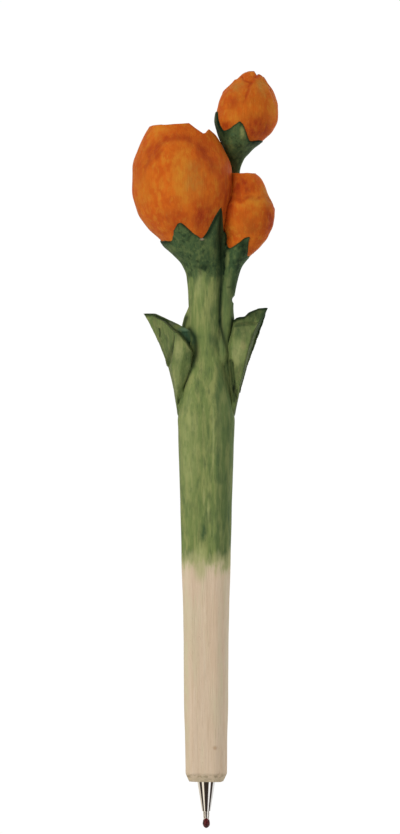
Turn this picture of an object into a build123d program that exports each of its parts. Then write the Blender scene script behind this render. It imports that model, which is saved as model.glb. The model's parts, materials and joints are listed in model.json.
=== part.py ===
from build123d import *

import os
from collections import namedtuple
from math import cos, pi, sin, sqrt

os.makedirs("parts", exist_ok=True)

# A ballpoint pen carved from limewood as three tulips on their stems.
# The barrel stands along Z with the writing point down. The origin is the centre of the barrel's
# lower end face, the flowers face -Y and +X is to the right of someone who looks at them.
# All sizes are millimetres.

# Writing point
ball_diameter = 1.0
ball_running_gap = 0.02
ball_stand_out = 0.22
point_diameter = 1.6
point_channel_diameter = 0.5
point_lip_diameter = 1.16
point_shank_length = 3.0
point_neck_length = 0.8
point_taper_length = 2.5

# Nose cone
cone_length = 7.5
cone_mouth_diameter = 4.5
cone_tip_diameter = 2.1
cone_seat_depth = 0.8
cone_shank_diameter = 3.8
cone_shank_length = 6.2
cone_spigot_length = 5.0
cone_channel_diameter = 1.0

# Ink tube and what it holds
tube_diameter = 3.0
tube_bore_diameter = 2.0
tube_length = 88.0
ink_length = 56.0
grease_length = 4.0

# Wax seal over the point
seal_diameter = 1.85
seal_length = 2.5
seal_wall = 0.1
seal_floor = 0.75
seal_gap = 0.05

# Bore of the barrel
refill_slide_gap = 0.05
tube_clearance = 0.2
tube_end_room = 2.0
bore_roof = 12.0

# Barrel
barrel_end_width = 10.4
barrel_swell_width = 14.5
barrel_top_width = 7.6
barrel_chamfer_width = 1.0
barrel_chamfer_height = 2.0
barrel_flat_share = 0.6

# Stems
stem_sides = 12
main_stem_width = 8.8
main_stem_height = 22.0
main_stem_root = 16.5
side_stem_width = 4.2
side_stem_depth = 6.0
side_stem_height = 31.0
bud_stem_width = 3.3
bud_stem_height = 41.5
bud_stem_bow = 7.6
bud_tenon_width = 2.4

# Flowers
large_petal_step = 0.5
small_petal_step = 0.35
large_sepal_thickness = 1.0
small_sepal_thickness = 0.75
large_bloom_width = 25.3
large_bloom_depth = 22.4
large_bloom_height = 33.2
large_bloom_left = -6.1
large_bloom_forward = -1.5
large_bloom_foot_shift = 2.6
side_bloom_width = 13.6
side_bloom_depth = 12.8
side_bloom_height = 21.0
side_bloom_right = 10.4
side_bloom_forward = -0.4
side_bloom_foot_shift = -2.4
bud_width = 15.7
bud_depth = 14.2
bud_height = 18.0
bud_right = 10.05
bud_back = 2.2
bud_foot_shift = -1.05
bud_rise = 28.6

# Leaves
leaf_front = 8.0
leaf_hollow_front = 2.5
left_leaf_reach = 15.5
left_leaf_rise = 25.2
right_leaf_reach = 15.3
right_leaf_rise = 26.8
leaf_foot_drop = 17.5

# Glue pegs
glue_gap = 0.05
peg_end_gap = 0.25
large_peg_diameter = 3.0
large_peg_length = 10.0
side_peg_diameter = 1.8
side_peg_length = 7.0
bud_peg_diameter = 1.6
bud_peg_length = 7.0
leaf_peg_diameter = 1.6
leaf_peg_length = 4.6
leaf_peg_height = 12.5
leaf_peg_forward = -1.0

# One overrun serves every cut.
overrun = 1.0

# Heights that follow from the sizes above
point_top = -cone_length + point_shank_length
point_shoulder = -cone_length - point_neck_length
point_lip = point_shoulder - point_taper_length
ball_centre = point_lip - ball_stand_out + ball_diameter / 2
shank_top = cone_seat_depth + cone_shank_length
spigot_top = shank_top + cone_spigot_length
tube_top = shank_top + tube_length
bore_top = tube_top + tube_end_room
barrel_top = bore_top + bore_roof
large_base = barrel_top + main_stem_height
side_base = large_base
bud_base = large_base + bud_rise
leaf_foot = barrel_top - leaf_foot_drop

# Shares of the barrel: height, and how far the width has gone from the end to the swell
barrel_taper_shares = ((0.41, 0.33), (0.64, 0.62), (0.83, 1.0))

# Shares of a flower from foot to top: height, foot shift, girth
large_bloom_shares = (
    (0.0, 1.0, 0.32),
    (0.105, 0.85, 0.566),
    (0.21, 0.42, 0.765),
    (0.33, 0.12, 0.908),
    (0.51, 0.04, 1.0),
    (0.66, 0.0, 0.988),
    (0.81, -0.08, 0.86),
    (0.92, -0.19, 0.717),
    (1.0, -0.3, 0.57),
)
side_bloom_shares = (
    (0.0, 1.0, 0.42),
    (0.12, 0.58, 0.62),
    (0.24, 0.13, 0.8),
    (0.405, 0.08, 0.97),
    (0.57, 0.0, 1.0),
    (0.786, 0.12, 0.765),
    (0.93, 0.2, 0.647),
    (1.0, 0.33, 0.53),
)
bud_shares = (
    (0.0, 1.0, 0.6),
    (0.16, 0.29, 0.89),
    (0.33, 0.0, 1.0),
    (0.52, -0.24, 0.98),
    (0.745, -0.52, 0.8),
    (0.91, -1.0, 0.465),
    (1.0, -1.5, 0.12),
)

# Shares of a stem: height, way to the flower's foot, width. The last ones flare into the calyx.
main_stem_shares = (
    (-0.75, 0.0, 1.0),
    (0.0, 0.0, 1.06),
    (0.5, 0.07, 1.0),
    (0.77, 0.11, 1.04),
    (0.91, 0.31, 1.17),
    (1.0, 0.56, 1.38),
)
side_stem_shares = (
    (0.0, 0.3, 0.8),
    (0.26, 0.54, 1.17),
    (0.45, 0.59, 1.14),
    (0.61, 0.61, 0.96),
    (0.77, 0.69, 1.02),
    (0.9, 0.8, 1.12),
    (1.0, 0.956, 1.6),
)
# The bud's stem: height, way to the bud's foot, bow behind the other flowers, width
bud_stem_shares = (
    (0.0, 0.32, 0.36, 1.1),
    (0.09, 0.43, 0.54, 1.15),
    (0.22, 0.55, 0.82, 1.15),
    (0.39, 0.66, 1.0, 1.1),
    (0.56, 0.73, 1.04, 1.05),
    (0.73, 0.77, 0.85, 1.0),
    (0.82, 0.79, 0.62, 0.97),
    (0.9, 0.87, 0.45, 1.1),
    (0.935, 0.91, 0.39, 1.5),
    (0.965, 0.94, 0.34, 2.1),
    (0.99, 0.98, 0.3, 2.8),
)
# The bud stem's tenon inside the main stem: height, way and bow, as above
bud_tenon_shares = ((-0.12, 0.18, 0.2), (0.06, 0.37, 0.44))

# The part of each flower's stations that its calyx covers
calyx_low_share = 0.1
calyx_high_share = 0.6

# Sepal edges as seen from the front, as shares of the flower's width and height from its foot.
# Each outline is closed far below, where it takes in the whole stem.
large_front_sepal_shares = (
    (-1.0, -4.0),
    (-1.0, 0.108),
    (-0.124, 0.108),
    (-0.098, 0.186),
    (-0.045, 0.242),
    (-0.004, 0.246),
    (0.202, 0.133),
    (0.255, 0.178),
    (0.323, 0.298),
    (0.391, 0.346),
    (0.406, 0.298),
    (0.42, 0.145),
    (1.0, 0.145),
    (1.0, -4.0),
)
large_back_sepal_shares = (
    (-1.0, -4.0),
    (-1.0, 0.108),
    (-0.255, 0.108),
    (-0.135, 0.3),
    (0.024, 0.12),
    (0.183, 0.286),
    (0.303, 0.136),
    (0.398, 0.24),
    (0.458, 0.145),
    (1.0, 0.145),
    (1.0, -4.0),
)
side_front_sepal_shares = (
    (-1.0, -4.0),
    (-1.0, 0.214),
    (-0.47, 0.214),
    (-0.39, 0.1),
    (-0.191, 0.163),
    (-0.059, 0.217),
    (0.059, 0.238),
    (0.033, 0.163),
    (0.007, 0.012),
    (0.0, -0.02),
    (1.0, -0.02),
    (1.0, -4.0),
)
side_back_sepal_shares = (
    (-1.0, -4.0),
    (-1.0, 0.143),
    (-0.4, 0.143),
    (-0.176, 0.31),
    (0.044, 0.048),
    (0.265, 0.19),
    (0.375, 0.0),
    (1.0, 0.0),
    (1.0, -4.0),
)
bud_front_sepal_shares = (
    (-1.0, -4.0),
    (-1.0, 0.42),
    (-0.492, 0.42),
    (-0.425, 0.3),
    (-0.363, 0.207),
    (-0.263, 0.212),
    (-0.186, 0.256),
    (-0.111, 0.283),
    (-0.049, 0.244),
    (0.0, 0.136),
    (0.051, 0.01),
    (0.277, 0.027),
    (1.0, 0.027),
    (1.0, -4.0),
)
bud_back_sepal_shares = (
    (-1.0, -4.0),
    (-1.0, 0.41),
    (-0.494, 0.41),
    (-0.294, 0.106),
    (-0.068, 0.328),
    (0.126, 0.078),
    (0.287, 0.189),
    (0.4, 0.033),
    (1.0, 0.033),
    (1.0, -4.0),
)

# Petal outlines as seen from the front, in the same shares
large_petal_shares = (
    (-0.34, 0.03),
    (-0.4, 0.45),
    (-0.37, 0.62),
    (-0.309, 0.753),
    (-0.209, 0.852),
    (-0.048, 0.89),
    (0.094, 0.852),
    (0.245, 0.753),
    (0.327, 0.645),
    (0.37, 0.45),
    (0.34, 0.03),
)
side_petal_shares = (
    (-0.4, 0.0),
    (-0.44, 0.3),
    (-0.4, 0.66),
    (-0.1, 0.71),
    (0.26, 0.71),
    (0.25, 0.5),
    (0.16, 0.3),
    (0.02, 0.2),
    (0.0, 0.0),
)
bud_petal_shares = (
    (-0.08, 0.0),
    (-0.12, 0.3),
    (-0.06, 0.6),
    (0.01, 0.76),
    (0.16, 0.9),
    (0.3, 0.84),
    (0.42, 0.6),
    (0.46, 0.35),
    (0.4, 0.0),
)
# What is cut off the large bloom's crown, which drops on the right and rises to a small tip
crown_cut_shares = (
    (0.071, 1.2),
    (0.071, 1.0),
    (0.217, 0.933),
    (0.265, 0.961),
    (0.36, 0.9),
    (0.6, 0.7),
    (0.6, 1.2),
)

# Leaf sections from foot to tip: rise, then reach and depth as shares for the outer edge, the
# ridge, the inner front corner, the inner back corner and the back
left_leaf_shares = (
    (0.0, ((0.474, -0.125), (0.432, -0.375), (0.361, -0.49), (0.29, -0.125), (0.413, 0.15))),
    (0.25, ((0.535, -0.075), (0.49, -0.55), (0.381, -0.5), (0.258, -0.125), (0.452, 0.175))),
    (0.457, ((0.616, -0.075), (0.568, -0.7), (0.252, -0.65), (0.194, -0.125), (0.529, 0.19))),
    (0.676, ((0.752, -0.1), (0.529, -0.925), (0.206, -0.85), (0.187, -0.125), (0.645, 0.19))),
    (0.809, ((0.852, -0.15), (0.51, -1.0), (0.206, -0.875), (0.194, -0.19), (0.742, 0.125))),
    (0.903, ((0.926, -0.19), (0.658, -0.75), (0.465, -0.44), (0.445, -0.125), (0.852, 0.075))),
    (1.0, ((1.0, -0.19), (0.87, -0.275), (0.813, -0.24), (0.806, -0.125), (0.935, -0.1))),
)
right_leaf_shares = (
    (0.0, ((0.477, -0.1), (0.451, -0.363), (0.379, -0.488), (0.3, -0.125), (0.418, 0.15))),
    (0.224, ((0.559, -0.063), (0.53, -0.4), (0.451, -0.375), (0.294, -0.125), (0.47, 0.175))),
    (0.457, ((0.673, -0.063), (0.634, -0.55), (0.425, -0.575), (0.26, -0.125), (0.556, 0.19))),
    (0.634, ((0.784, -0.088), (0.706, -0.7), (0.386, -0.8), (0.248, -0.125), (0.64, 0.19))),
    (0.858, ((0.928, -0.15), (0.843, -0.625), (0.464, -0.7), (0.418, -0.125), (0.784, 0.125))),
    (0.929, ((0.974, -0.175), (0.902, -0.425), (0.647, -0.4), (0.627, -0.125), (0.85, 0.075))),
    (1.0, ((1.0, -0.19), (0.974, -0.24), (0.876, -0.24), (0.87, -0.14), (0.954, -0.11))),
)
# The hollow behind each leaf's front rim, as shares of its reach and rise
left_hollow_shares = (
    (0.83, 1.05),
    (0.794, 0.99),
    (0.568, 0.865),
    (0.503, 0.809),
    (0.361, 0.765),
    (0.277, 0.686),
    (0.245, 0.586),
    (0.17, 0.66),
    (0.15, 1.05),
)
right_hollow_shares = (
    (0.93, 1.05),
    (0.908, 0.951),
    (0.68, 0.858),
    (0.42, 0.85),
    (0.3, 0.85),
    (0.3, 1.05),
)

# Ends of each glue peg's line: way to the flower's foot, way to its middle from front to back
large_peg_shares = ((0.17, 0.2), (1.0, 0.6))
side_peg_shares = ((0.79, 0.5), (1.08, 1.0))
bud_peg_shares = ((0.86, 1.5), (1.06, 1.0))

Flower = namedtuple("Flower", "width depth height x y foot_shift base step sepal")

large_flower = Flower(
    large_bloom_width,
    large_bloom_depth,
    large_bloom_height,
    large_bloom_left,
    large_bloom_forward,
    large_bloom_foot_shift,
    large_base,
    large_petal_step,
    large_sepal_thickness,
)
side_flower = Flower(
    side_bloom_width,
    side_bloom_depth,
    side_bloom_height,
    side_bloom_right,
    side_bloom_forward,
    side_bloom_foot_shift,
    side_base,
    small_petal_step,
    small_sepal_thickness,
)
bud_flower = Flower(
    bud_width,
    bud_depth,
    bud_height,
    bud_right,
    bud_back,
    bud_foot_shift,
    bud_base,
    small_petal_step,
    small_sepal_thickness,
)


def save(part, name):
    """Label one finished piece and write it as its own node."""
    part.label = name
    export_step(part, f"parts/{name}.step")


def foot_x(flower):
    """Where the flower's foot lies across the pen."""
    return flower.x + flower.foot_shift


# Carved forms


def ring(x, y, width, depth):
    """Corners of a many-sided section whose flats lie on the given width and depth."""
    reach = 1 / cos(pi / stem_sides)
    turns = [2 * pi * (i + 0.5) / stem_sides for i in range(stem_sides)]
    return [(x + width / 2 * reach * cos(t), y + depth / 2 * reach * sin(t)) for t in turns]


def barrel_ring(width):
    """Corners of the barrel's section, a square with its corners cut off."""
    side = width / 2
    flat = side * barrel_flat_share
    quarter = ((side, -flat), (side, flat))
    turns = [(cos(i * pi / 2), sin(i * pi / 2)) for i in range(4)]
    return [(x * c - y * s, x * s + y * c) for c, s in turns for x, y in quarter]


def through_sections(sections):
    """A faceted solid through level outlines, each a height and its corners."""
    with BuildPart() as body:
        for height, corners in sections:
            with BuildSketch(Plane.XY.offset(height)):
                with BuildLine():
                    Polyline(*corners, close=True)
                make_face()
        loft(ruled=True)
    return body.part


def carve(stations):
    """A faceted stem or flower through stations of height, centre, width and depth."""
    return through_sections([(z, ring(x, y, w, d)) for z, x, y, w, d in stations])


def flower_stations(shares, flower, growth):
    """Stations of a flower, grown all round by a thickness."""
    return [
        (
            flower.base + up * flower.height,
            flower.x + shift * flower.foot_shift,
            flower.y,
            flower.width * girth + 2 * growth,
            flower.depth * girth + 2 * growth,
        )
        for up, shift, girth in shares
    ]


def panel(outline_shares, flower, towards):
    """A thick plate with an outline seen from the front. towards is 1 to the front, -1 back."""
    points = [
        (flower.x + across * flower.width, flower.base + up * flower.height)
        for across, up in outline_shares
    ]
    with BuildPart() as plate:
        with BuildSketch(Plane.XZ.offset(-flower.y)):
            with BuildLine():
                Polyline(*points, close=True)
            make_face()
        extrude(amount=towards * flower.depth)
    return plate.part


def front_and_back(body, front_shares, back_shares, flower):
    """What lies of a body inside one outline at the front and another at the back."""
    front = panel(front_shares, flower, 1)
    back = panel(back_shares, flower, -1)
    with BuildPart() as kept:
        add(front)
        add(back)
        add(body, mode=Mode.INTERSECT)
    return kept.part


def mirrored(outline_shares):
    """An outline turned over, as the petal at the back has it."""
    return [(-across, up) for across, up in outline_shares]


def flower_body(shares, petal_outline, flower):
    """A closed flower: a core with a proud petal at the front and another at the back."""
    core = carve(flower_stations(shares, flower, 0))
    skin = carve(flower_stations(shares, flower, flower.step))
    petals = front_and_back(skin, petal_outline, mirrored(petal_outline), flower)
    with BuildPart() as body:
        add(core)
        add(petals)
    return body.part


def calyx(stem_stations, shares, front_shares, back_shares, flower):
    """A stem that flares into a cup of sepals, cut to their pointed edges front and back."""
    cup = [s for s in shares if calyx_low_share < s[0] < calyx_high_share]
    body = carve(stem_stations + flower_stations(cup, flower, flower.sepal))
    return front_and_back(body, front_shares, back_shares, flower)


# Glue pegs


def peg(line, diameter, length):
    """A round peg centred between the two ends of its line."""
    foot, top = (Vector(*end) for end in line)
    with BuildPart() as body:
        with BuildSketch(Plane(origin=(foot + top) * 0.5, z_dir=top - foot)):
            Circle(diameter / 2)
        extrude(amount=length / 2, both=True)
    return body.part


def peg_hole(line, diameter, length):
    """The hole that a peg is glued in."""
    return peg(line, diameter + 2 * glue_gap, length + 2 * peg_end_gap)


def flower_peg_line(shares, flower, length):
    """The line of a peg that stands half in a flower's stem and half in the flower."""
    return [
        (way * foot_x(flower), forward * flower.y, flower.base + end * length / 2)
        for (way, forward), end in zip(shares, (-1, 1))
    ]


def leaf_peg_line(side):
    """The level line of the peg under one leaf. side is -1 on the left and 1 on the right."""
    middle = (barrel_swell_width + barrel_top_width) / 4
    reaches = (middle - leaf_peg_length / 2, middle + leaf_peg_length / 2)
    return [(side * x, leaf_peg_forward, leaf_foot + leaf_peg_height) for x in reaches]


large_peg_line = flower_peg_line(large_peg_shares, large_flower, large_peg_length)
side_peg_line = flower_peg_line(side_peg_shares, side_flower, side_peg_length)
bud_peg_line = flower_peg_line(bud_peg_shares, bud_flower, bud_peg_length)
large_peg_hole = peg_hole(large_peg_line, large_peg_diameter, large_peg_length)
side_peg_hole = peg_hole(side_peg_line, side_peg_diameter, side_peg_length)
bud_peg_hole = peg_hole(bud_peg_line, bud_peg_diameter, bud_peg_length)
left_leaf_peg_hole = peg_hole(leaf_peg_line(-1), leaf_peg_diameter, leaf_peg_length)
right_leaf_peg_hole = peg_hole(leaf_peg_line(1), leaf_peg_diameter, leaf_peg_length)

save(peg(large_peg_line, large_peg_diameter, large_peg_length), "large_bloom_peg")
save(peg(side_peg_line, side_peg_diameter, side_peg_length), "side_bloom_peg")
save(peg(bud_peg_line, bud_peg_diameter, bud_peg_length), "bud_peg")
with BuildPart() as leaf_pegs:
    add(peg(leaf_peg_line(-1), leaf_peg_diameter, leaf_peg_length))
    add(peg(leaf_peg_line(1), leaf_peg_diameter, leaf_peg_length))
save(leaf_pegs.part, "leaf_pegs")

# Large bloom and the main stem that carries it

raw_large_bloom = flower_body(large_bloom_shares, large_petal_shares, large_flower)
with BuildPart() as large_bloom:
    add(raw_large_bloom)
    add(panel(crown_cut_shares, large_flower, 1), mode=Mode.SUBTRACT)
    add(panel(crown_cut_shares, large_flower, -1), mode=Mode.SUBTRACT)
    add(large_peg_hole, mode=Mode.SUBTRACT)
save(large_bloom.part, "large_bloom")

main_stem = calyx(
    [
        (
            barrel_top + up * main_stem_height,
            way * foot_x(large_flower),
            way * large_bloom_forward,
            main_stem_width * girth,
            main_stem_width * girth,
        )
        for up, way, girth in main_stem_shares
    ],
    large_bloom_shares,
    large_front_sepal_shares,
    large_back_sepal_shares,
    large_flower,
)

# Side bloom and its stem

with BuildPart() as side_bloom:
    add(flower_body(side_bloom_shares, side_petal_shares, side_flower))
    add(large_bloom.part, mode=Mode.SUBTRACT)
    add(main_stem, mode=Mode.SUBTRACT)
    add(side_peg_hole, mode=Mode.SUBTRACT)
save(side_bloom.part, "side_bloom")

side_stem = calyx(
    [
        (
            side_base - side_stem_height + up * side_stem_height,
            way * foot_x(side_flower),
            side_bloom_forward,
            side_stem_width * girth,
            side_stem_depth * girth,
        )
        for up, way, girth in side_stem_shares
    ],
    side_bloom_shares,
    side_front_sepal_shares,
    side_back_sepal_shares,
    side_flower,
)

# Top bud and its stem, which bows behind the other two flowers

with BuildPart() as top_bud:
    add(flower_body(bud_shares, bud_petal_shares, bud_flower))
    add(bud_peg_hole, mode=Mode.SUBTRACT)
save(top_bud.part, "top_bud")


def bud_stem_station(up, way, bow, width):
    """A section of the bud's stem."""
    return (
        bud_base - bud_stem_height + up * bud_stem_height,
        way * foot_x(bud_flower),
        bow * bud_stem_bow,
        width,
        width,
    )


def bud_tenon(width):
    """The end of the bud's stem that is glued into the main stem, or its socket."""
    return carve([bud_stem_station(up, way, bow, width) for up, way, bow in bud_tenon_shares])


raw_bud_stem = calyx(
    [
        bud_stem_station(up, way, bow, bud_stem_width * girth)
        for up, way, bow, girth in bud_stem_shares
    ],
    bud_shares,
    bud_front_sepal_shares,
    bud_back_sepal_shares,
    bud_flower,
)

# Barrel, main stem and side stem, carved as one piece

barrel = through_sections(
    [
        (0, barrel_ring(barrel_end_width - 2 * barrel_chamfer_width)),
        (barrel_chamfer_height, barrel_ring(barrel_end_width)),
    ]
    + [
        (
            up * barrel_top,
            barrel_ring(barrel_end_width + grown * (barrel_swell_width - barrel_end_width)),
        )
        for up, grown in barrel_taper_shares
    ]
    + [(barrel_top, barrel_ring(barrel_top_width))]
)

mouth_radius = cone_mouth_diameter / 2 + refill_slide_gap
shank_radius = cone_shank_diameter / 2 + refill_slide_gap
tube_radius = tube_diameter / 2 + tube_clearance
with BuildPart() as refill_bore:
    with BuildSketch(Plane.XZ):
        with BuildLine():
            Polyline(
                (0, -overrun),
                (mouth_radius, -overrun),
                (mouth_radius, cone_seat_depth),
                (shank_radius, cone_seat_depth),
                (shank_radius, shank_top),
                (tube_radius, shank_top),
                (tube_radius, bore_top - tube_radius),
                (0, bore_top),
                close=True,
            )
        make_face()
    revolve(axis=Axis.Z)

with BuildPart() as carved_stem:
    add(barrel)
    add(main_stem)
    add(side_stem)
    add(large_bloom.part, mode=Mode.SUBTRACT)
    add(side_bloom.part, mode=Mode.SUBTRACT)
    add(bud_tenon(bud_tenon_width + 2 * glue_gap), mode=Mode.SUBTRACT)
    add(large_peg_hole, mode=Mode.SUBTRACT)
    add(side_peg_hole, mode=Mode.SUBTRACT)
    add(left_leaf_peg_hole, mode=Mode.SUBTRACT)
    add(right_leaf_peg_hole, mode=Mode.SUBTRACT)
    add(refill_bore.part, mode=Mode.SUBTRACT)
save(carved_stem.part, "carved_stem")

with BuildPart() as bud_stem:
    add(raw_bud_stem)
    add(barrel, mode=Mode.SUBTRACT)
    add(main_stem, mode=Mode.SUBTRACT)
    add(side_stem, mode=Mode.SUBTRACT)
    add(large_bloom.part, mode=Mode.SUBTRACT)
    add(side_bloom.part, mode=Mode.SUBTRACT)
    add(top_bud.part, mode=Mode.SUBTRACT)
    add(bud_tenon(bud_tenon_width))
    add(bud_peg_hole, mode=Mode.SUBTRACT)
save(bud_stem.part, "bud_stem")

# Leaves, which wrap the barrel's flanks and point outwards


def leaf_hollow(side, reach, rise, hollow_shares):
    """What is cut from a leaf's front above its rim, down to the leaf's back."""
    points = [(side * out * reach, leaf_foot + up * rise) for out, up in hollow_shares]
    with BuildPart() as hollow:
        with BuildSketch(Plane.XZ.offset(leaf_hollow_front)):
            with BuildLine():
                Polyline(*points, close=True)
            make_face()
        extrude(amount=leaf_front)
    return hollow.part


def leaf(side, reach, rise, section_shares, hollow_shares, hole):
    """A folded leaf. side is -1 on the left and 1 on the right."""
    blank = through_sections(
        [
            (
                leaf_foot + up * rise,
                [(side * out * reach, front * leaf_front) for out, front in corners],
            )
            for up, corners in section_shares
        ]
    )
    with BuildPart() as body:
        add(blank)
        add(leaf_hollow(side, reach, rise, hollow_shares), mode=Mode.SUBTRACT)
        add(barrel, mode=Mode.SUBTRACT)
        add(main_stem, mode=Mode.SUBTRACT)
        add(side_stem, mode=Mode.SUBTRACT)
        add(hole, mode=Mode.SUBTRACT)
    return body.part


left_leaf = leaf(
    -1,
    left_leaf_reach,
    left_leaf_rise,
    left_leaf_shares,
    left_hollow_shares,
    left_leaf_peg_hole,
)
right_leaf = leaf(
    1,
    right_leaf_reach,
    right_leaf_rise,
    right_leaf_shares,
    right_hollow_shares,
    right_leaf_peg_hole,
)
save(left_leaf, "left_leaf")
save(right_leaf, "right_leaf")

# Refill


def turned(points):
    """A solid turned about the pen's axis from corners of its half section."""
    with BuildPart() as body:
        with BuildSketch(Plane.XZ):
            with BuildLine():
                Polyline(*points, close=True)
            make_face()
        revolve(axis=Axis.Z)
    return body.part


nose_cone = turned(
    [
        (point_diameter / 2, -cone_length),
        (cone_tip_diameter / 2, -cone_length),
        (cone_mouth_diameter / 2, 0),
        (cone_mouth_diameter / 2, cone_seat_depth),
        (cone_shank_diameter / 2, cone_seat_depth),
        (cone_shank_diameter / 2, shank_top),
        (tube_bore_diameter / 2, shank_top),
        (tube_bore_diameter / 2, spigot_top),
        (cone_channel_diameter / 2, spigot_top),
        (cone_channel_diameter / 2, point_top),
        (point_diameter / 2, point_top),
    ]
)
save(nose_cone, "nose_cone")

ball_radius = ball_diameter / 2
channel_radius = point_channel_diameter / 2
socket_radius = ball_radius + ball_running_gap
lip_opening = sqrt(socket_radius**2 - (ball_centre - point_lip) ** 2)
socket_top = ball_centre + sqrt(socket_radius**2 - channel_radius**2)
with BuildPart() as ball_point:
    with BuildSketch(Plane.XZ):
        with BuildLine():
            Polyline(
                (channel_radius, socket_top),
                (channel_radius, point_top),
                (point_diameter / 2, point_top),
                (point_diameter / 2, point_shoulder),
                (point_lip_diameter / 2, point_lip),
                (lip_opening, point_lip),
            )
            ThreePointArc(
                (lip_opening, point_lip),
                (socket_radius, ball_centre),
                (channel_radius, socket_top),
            )
        make_face()
    revolve(axis=Axis.Z)
save(ball_point.part, "ball_point")

with BuildPart() as writing_ball:
    with BuildSketch(Plane.XZ):
        with BuildLine():
            CenterArc((0, ball_centre), ball_radius, -90, 180)
            Line((0, ball_centre - ball_radius), (0, ball_centre + ball_radius))
        make_face()
    revolve(axis=Axis.Z)
save(writing_ball.part, "writing_ball")

ink_tube = turned(
    [
        (tube_bore_diameter / 2, shank_top),
        (tube_diameter / 2, shank_top),
        (tube_diameter / 2, tube_top),
        (tube_bore_diameter / 2, tube_top),
    ]
)
save(ink_tube, "ink_tube")

with BuildPart() as ink_column:
    with BuildSketch(Plane.XY.offset(spigot_top)):
        Circle(tube_bore_diameter / 2)
    extrude(amount=ink_length)
    with BuildSketch(Plane.XY.offset(point_top)):
        Circle(cone_channel_diameter / 2)
    extrude(amount=spigot_top - point_top)
save(ink_column.part, "ink_column")

with BuildPart() as grease_follower:
    with BuildSketch(Plane.XY.offset(spigot_top + ink_length)):
        Circle(tube_bore_diameter / 2)
    extrude(amount=grease_length)
save(grease_follower.part, "grease_follower")

# Drop of sealing wax over the point


def seal_bore(height):
    """Radius of the seal's bore, which follows the point's taper."""
    share = (height - point_lip) / point_taper_length
    lip_radius = point_lip_diameter / 2
    return lip_radius + share * (point_diameter / 2 - lip_radius) + seal_gap


seal_radius = seal_diameter / 2
seal_pocket = point_lip - ball_stand_out - seal_gap
seal_bottom = seal_pocket + seal_gap - seal_floor
seal_top = seal_bottom + seal_length
seal_centre = seal_bottom + seal_radius
with BuildPart() as tip_seal:
    with BuildSketch(Plane.XZ):
        with BuildLine():
            Polyline(
                (0, seal_bottom),
                (0, seal_pocket),
                (ball_radius + seal_gap, seal_pocket),
                (seal_bore(point_lip), point_lip),
                (seal_bore(seal_top), seal_top),
                (seal_bore(seal_top) + seal_wall, seal_top),
                (seal_radius, seal_centre),
            )
            CenterArc((0, seal_centre), seal_radius, -90, 90)
        make_face()
    revolve(axis=Axis.Z)
save(tip_seal.part, "tip_seal")
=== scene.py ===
import json
import math
from collections import namedtuple

import bpy
import numpy as np
from mathutils import Matrix, Vector


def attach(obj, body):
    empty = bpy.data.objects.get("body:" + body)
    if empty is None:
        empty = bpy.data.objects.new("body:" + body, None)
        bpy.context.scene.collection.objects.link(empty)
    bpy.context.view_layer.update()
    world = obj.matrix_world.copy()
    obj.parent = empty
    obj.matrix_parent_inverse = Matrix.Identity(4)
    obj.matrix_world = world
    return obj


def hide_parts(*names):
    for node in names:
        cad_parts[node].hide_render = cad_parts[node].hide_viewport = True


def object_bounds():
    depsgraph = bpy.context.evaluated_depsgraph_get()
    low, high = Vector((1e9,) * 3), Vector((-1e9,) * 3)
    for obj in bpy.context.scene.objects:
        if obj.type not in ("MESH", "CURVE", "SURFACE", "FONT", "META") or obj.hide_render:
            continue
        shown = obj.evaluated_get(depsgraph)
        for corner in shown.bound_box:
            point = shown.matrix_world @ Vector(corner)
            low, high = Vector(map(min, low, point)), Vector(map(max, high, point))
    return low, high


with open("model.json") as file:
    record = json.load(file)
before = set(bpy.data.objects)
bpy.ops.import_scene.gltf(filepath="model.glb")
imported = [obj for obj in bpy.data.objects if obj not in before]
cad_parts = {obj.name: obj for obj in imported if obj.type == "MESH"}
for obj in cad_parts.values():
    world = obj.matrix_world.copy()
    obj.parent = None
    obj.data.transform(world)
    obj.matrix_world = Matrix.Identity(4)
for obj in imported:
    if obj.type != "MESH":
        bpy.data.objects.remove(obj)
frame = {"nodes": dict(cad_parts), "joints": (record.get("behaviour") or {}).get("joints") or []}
cad_low, cad_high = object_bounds()

# Three carved tulips on a ballpoint pen. Forms are worked out in millimetres and put down in
# metres. The pen stands along Z with its point down, and the flowers face -Y.
MM = 0.001

# Barrel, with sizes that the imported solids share
barrel_top = 109.0
barrel_end_width = 10.4
barrel_swell_width = 14.5
barrel_top_width = 7.6
barrel_chamfer_width = 1.0
barrel_chamfer_height = 2.0
barrel_sides = 120
# Heights between which the knife's flats give way to rounded corners, and how sharp both are
flats_fade_heights = (35, 95)
flat_sharpness = 40.0
round_sharpness = 3.2
# Where the barrel's long strokes give way to the stem's short ones, and how near the axis the
# wood is left plain
strokes_change_heights = (112, 100)
plain_reach = 2.6
# Shares of the barrel: height, and how far the width has gone from the end to the swell
barrel_taper_shares = ((0.41, 0.33), (0.64, 0.62), (0.83, 1))
# The long knife cuts that square the barrel's lower end: where each faces, in degrees round from
# the front towards the right, and how far out it lies as a share of half the width
barrel_cuts = (
    (-92, 1), (-52, 1.15), (-2, 0.98), (34, 1.09), (71, 1.03), (94, 1), (138, 1.13), (181, 0.99),
    (226, 1.12),
)
# The bore for the refill: heights and radii from its roof down to the mouth
bore_profile = ((97, 0.3), (95.2, 1.7), (7.05, 1.7), (7, 1.95), (0.8, 1.95), (0.75, 2.3), (0, 2.3))
# Heights between which the plain barrel is shortened while its skin is laid, and what they become
full_heights = (-2, 5, 80, 200)
short_heights = (-2, 5, 26, 146)

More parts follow.
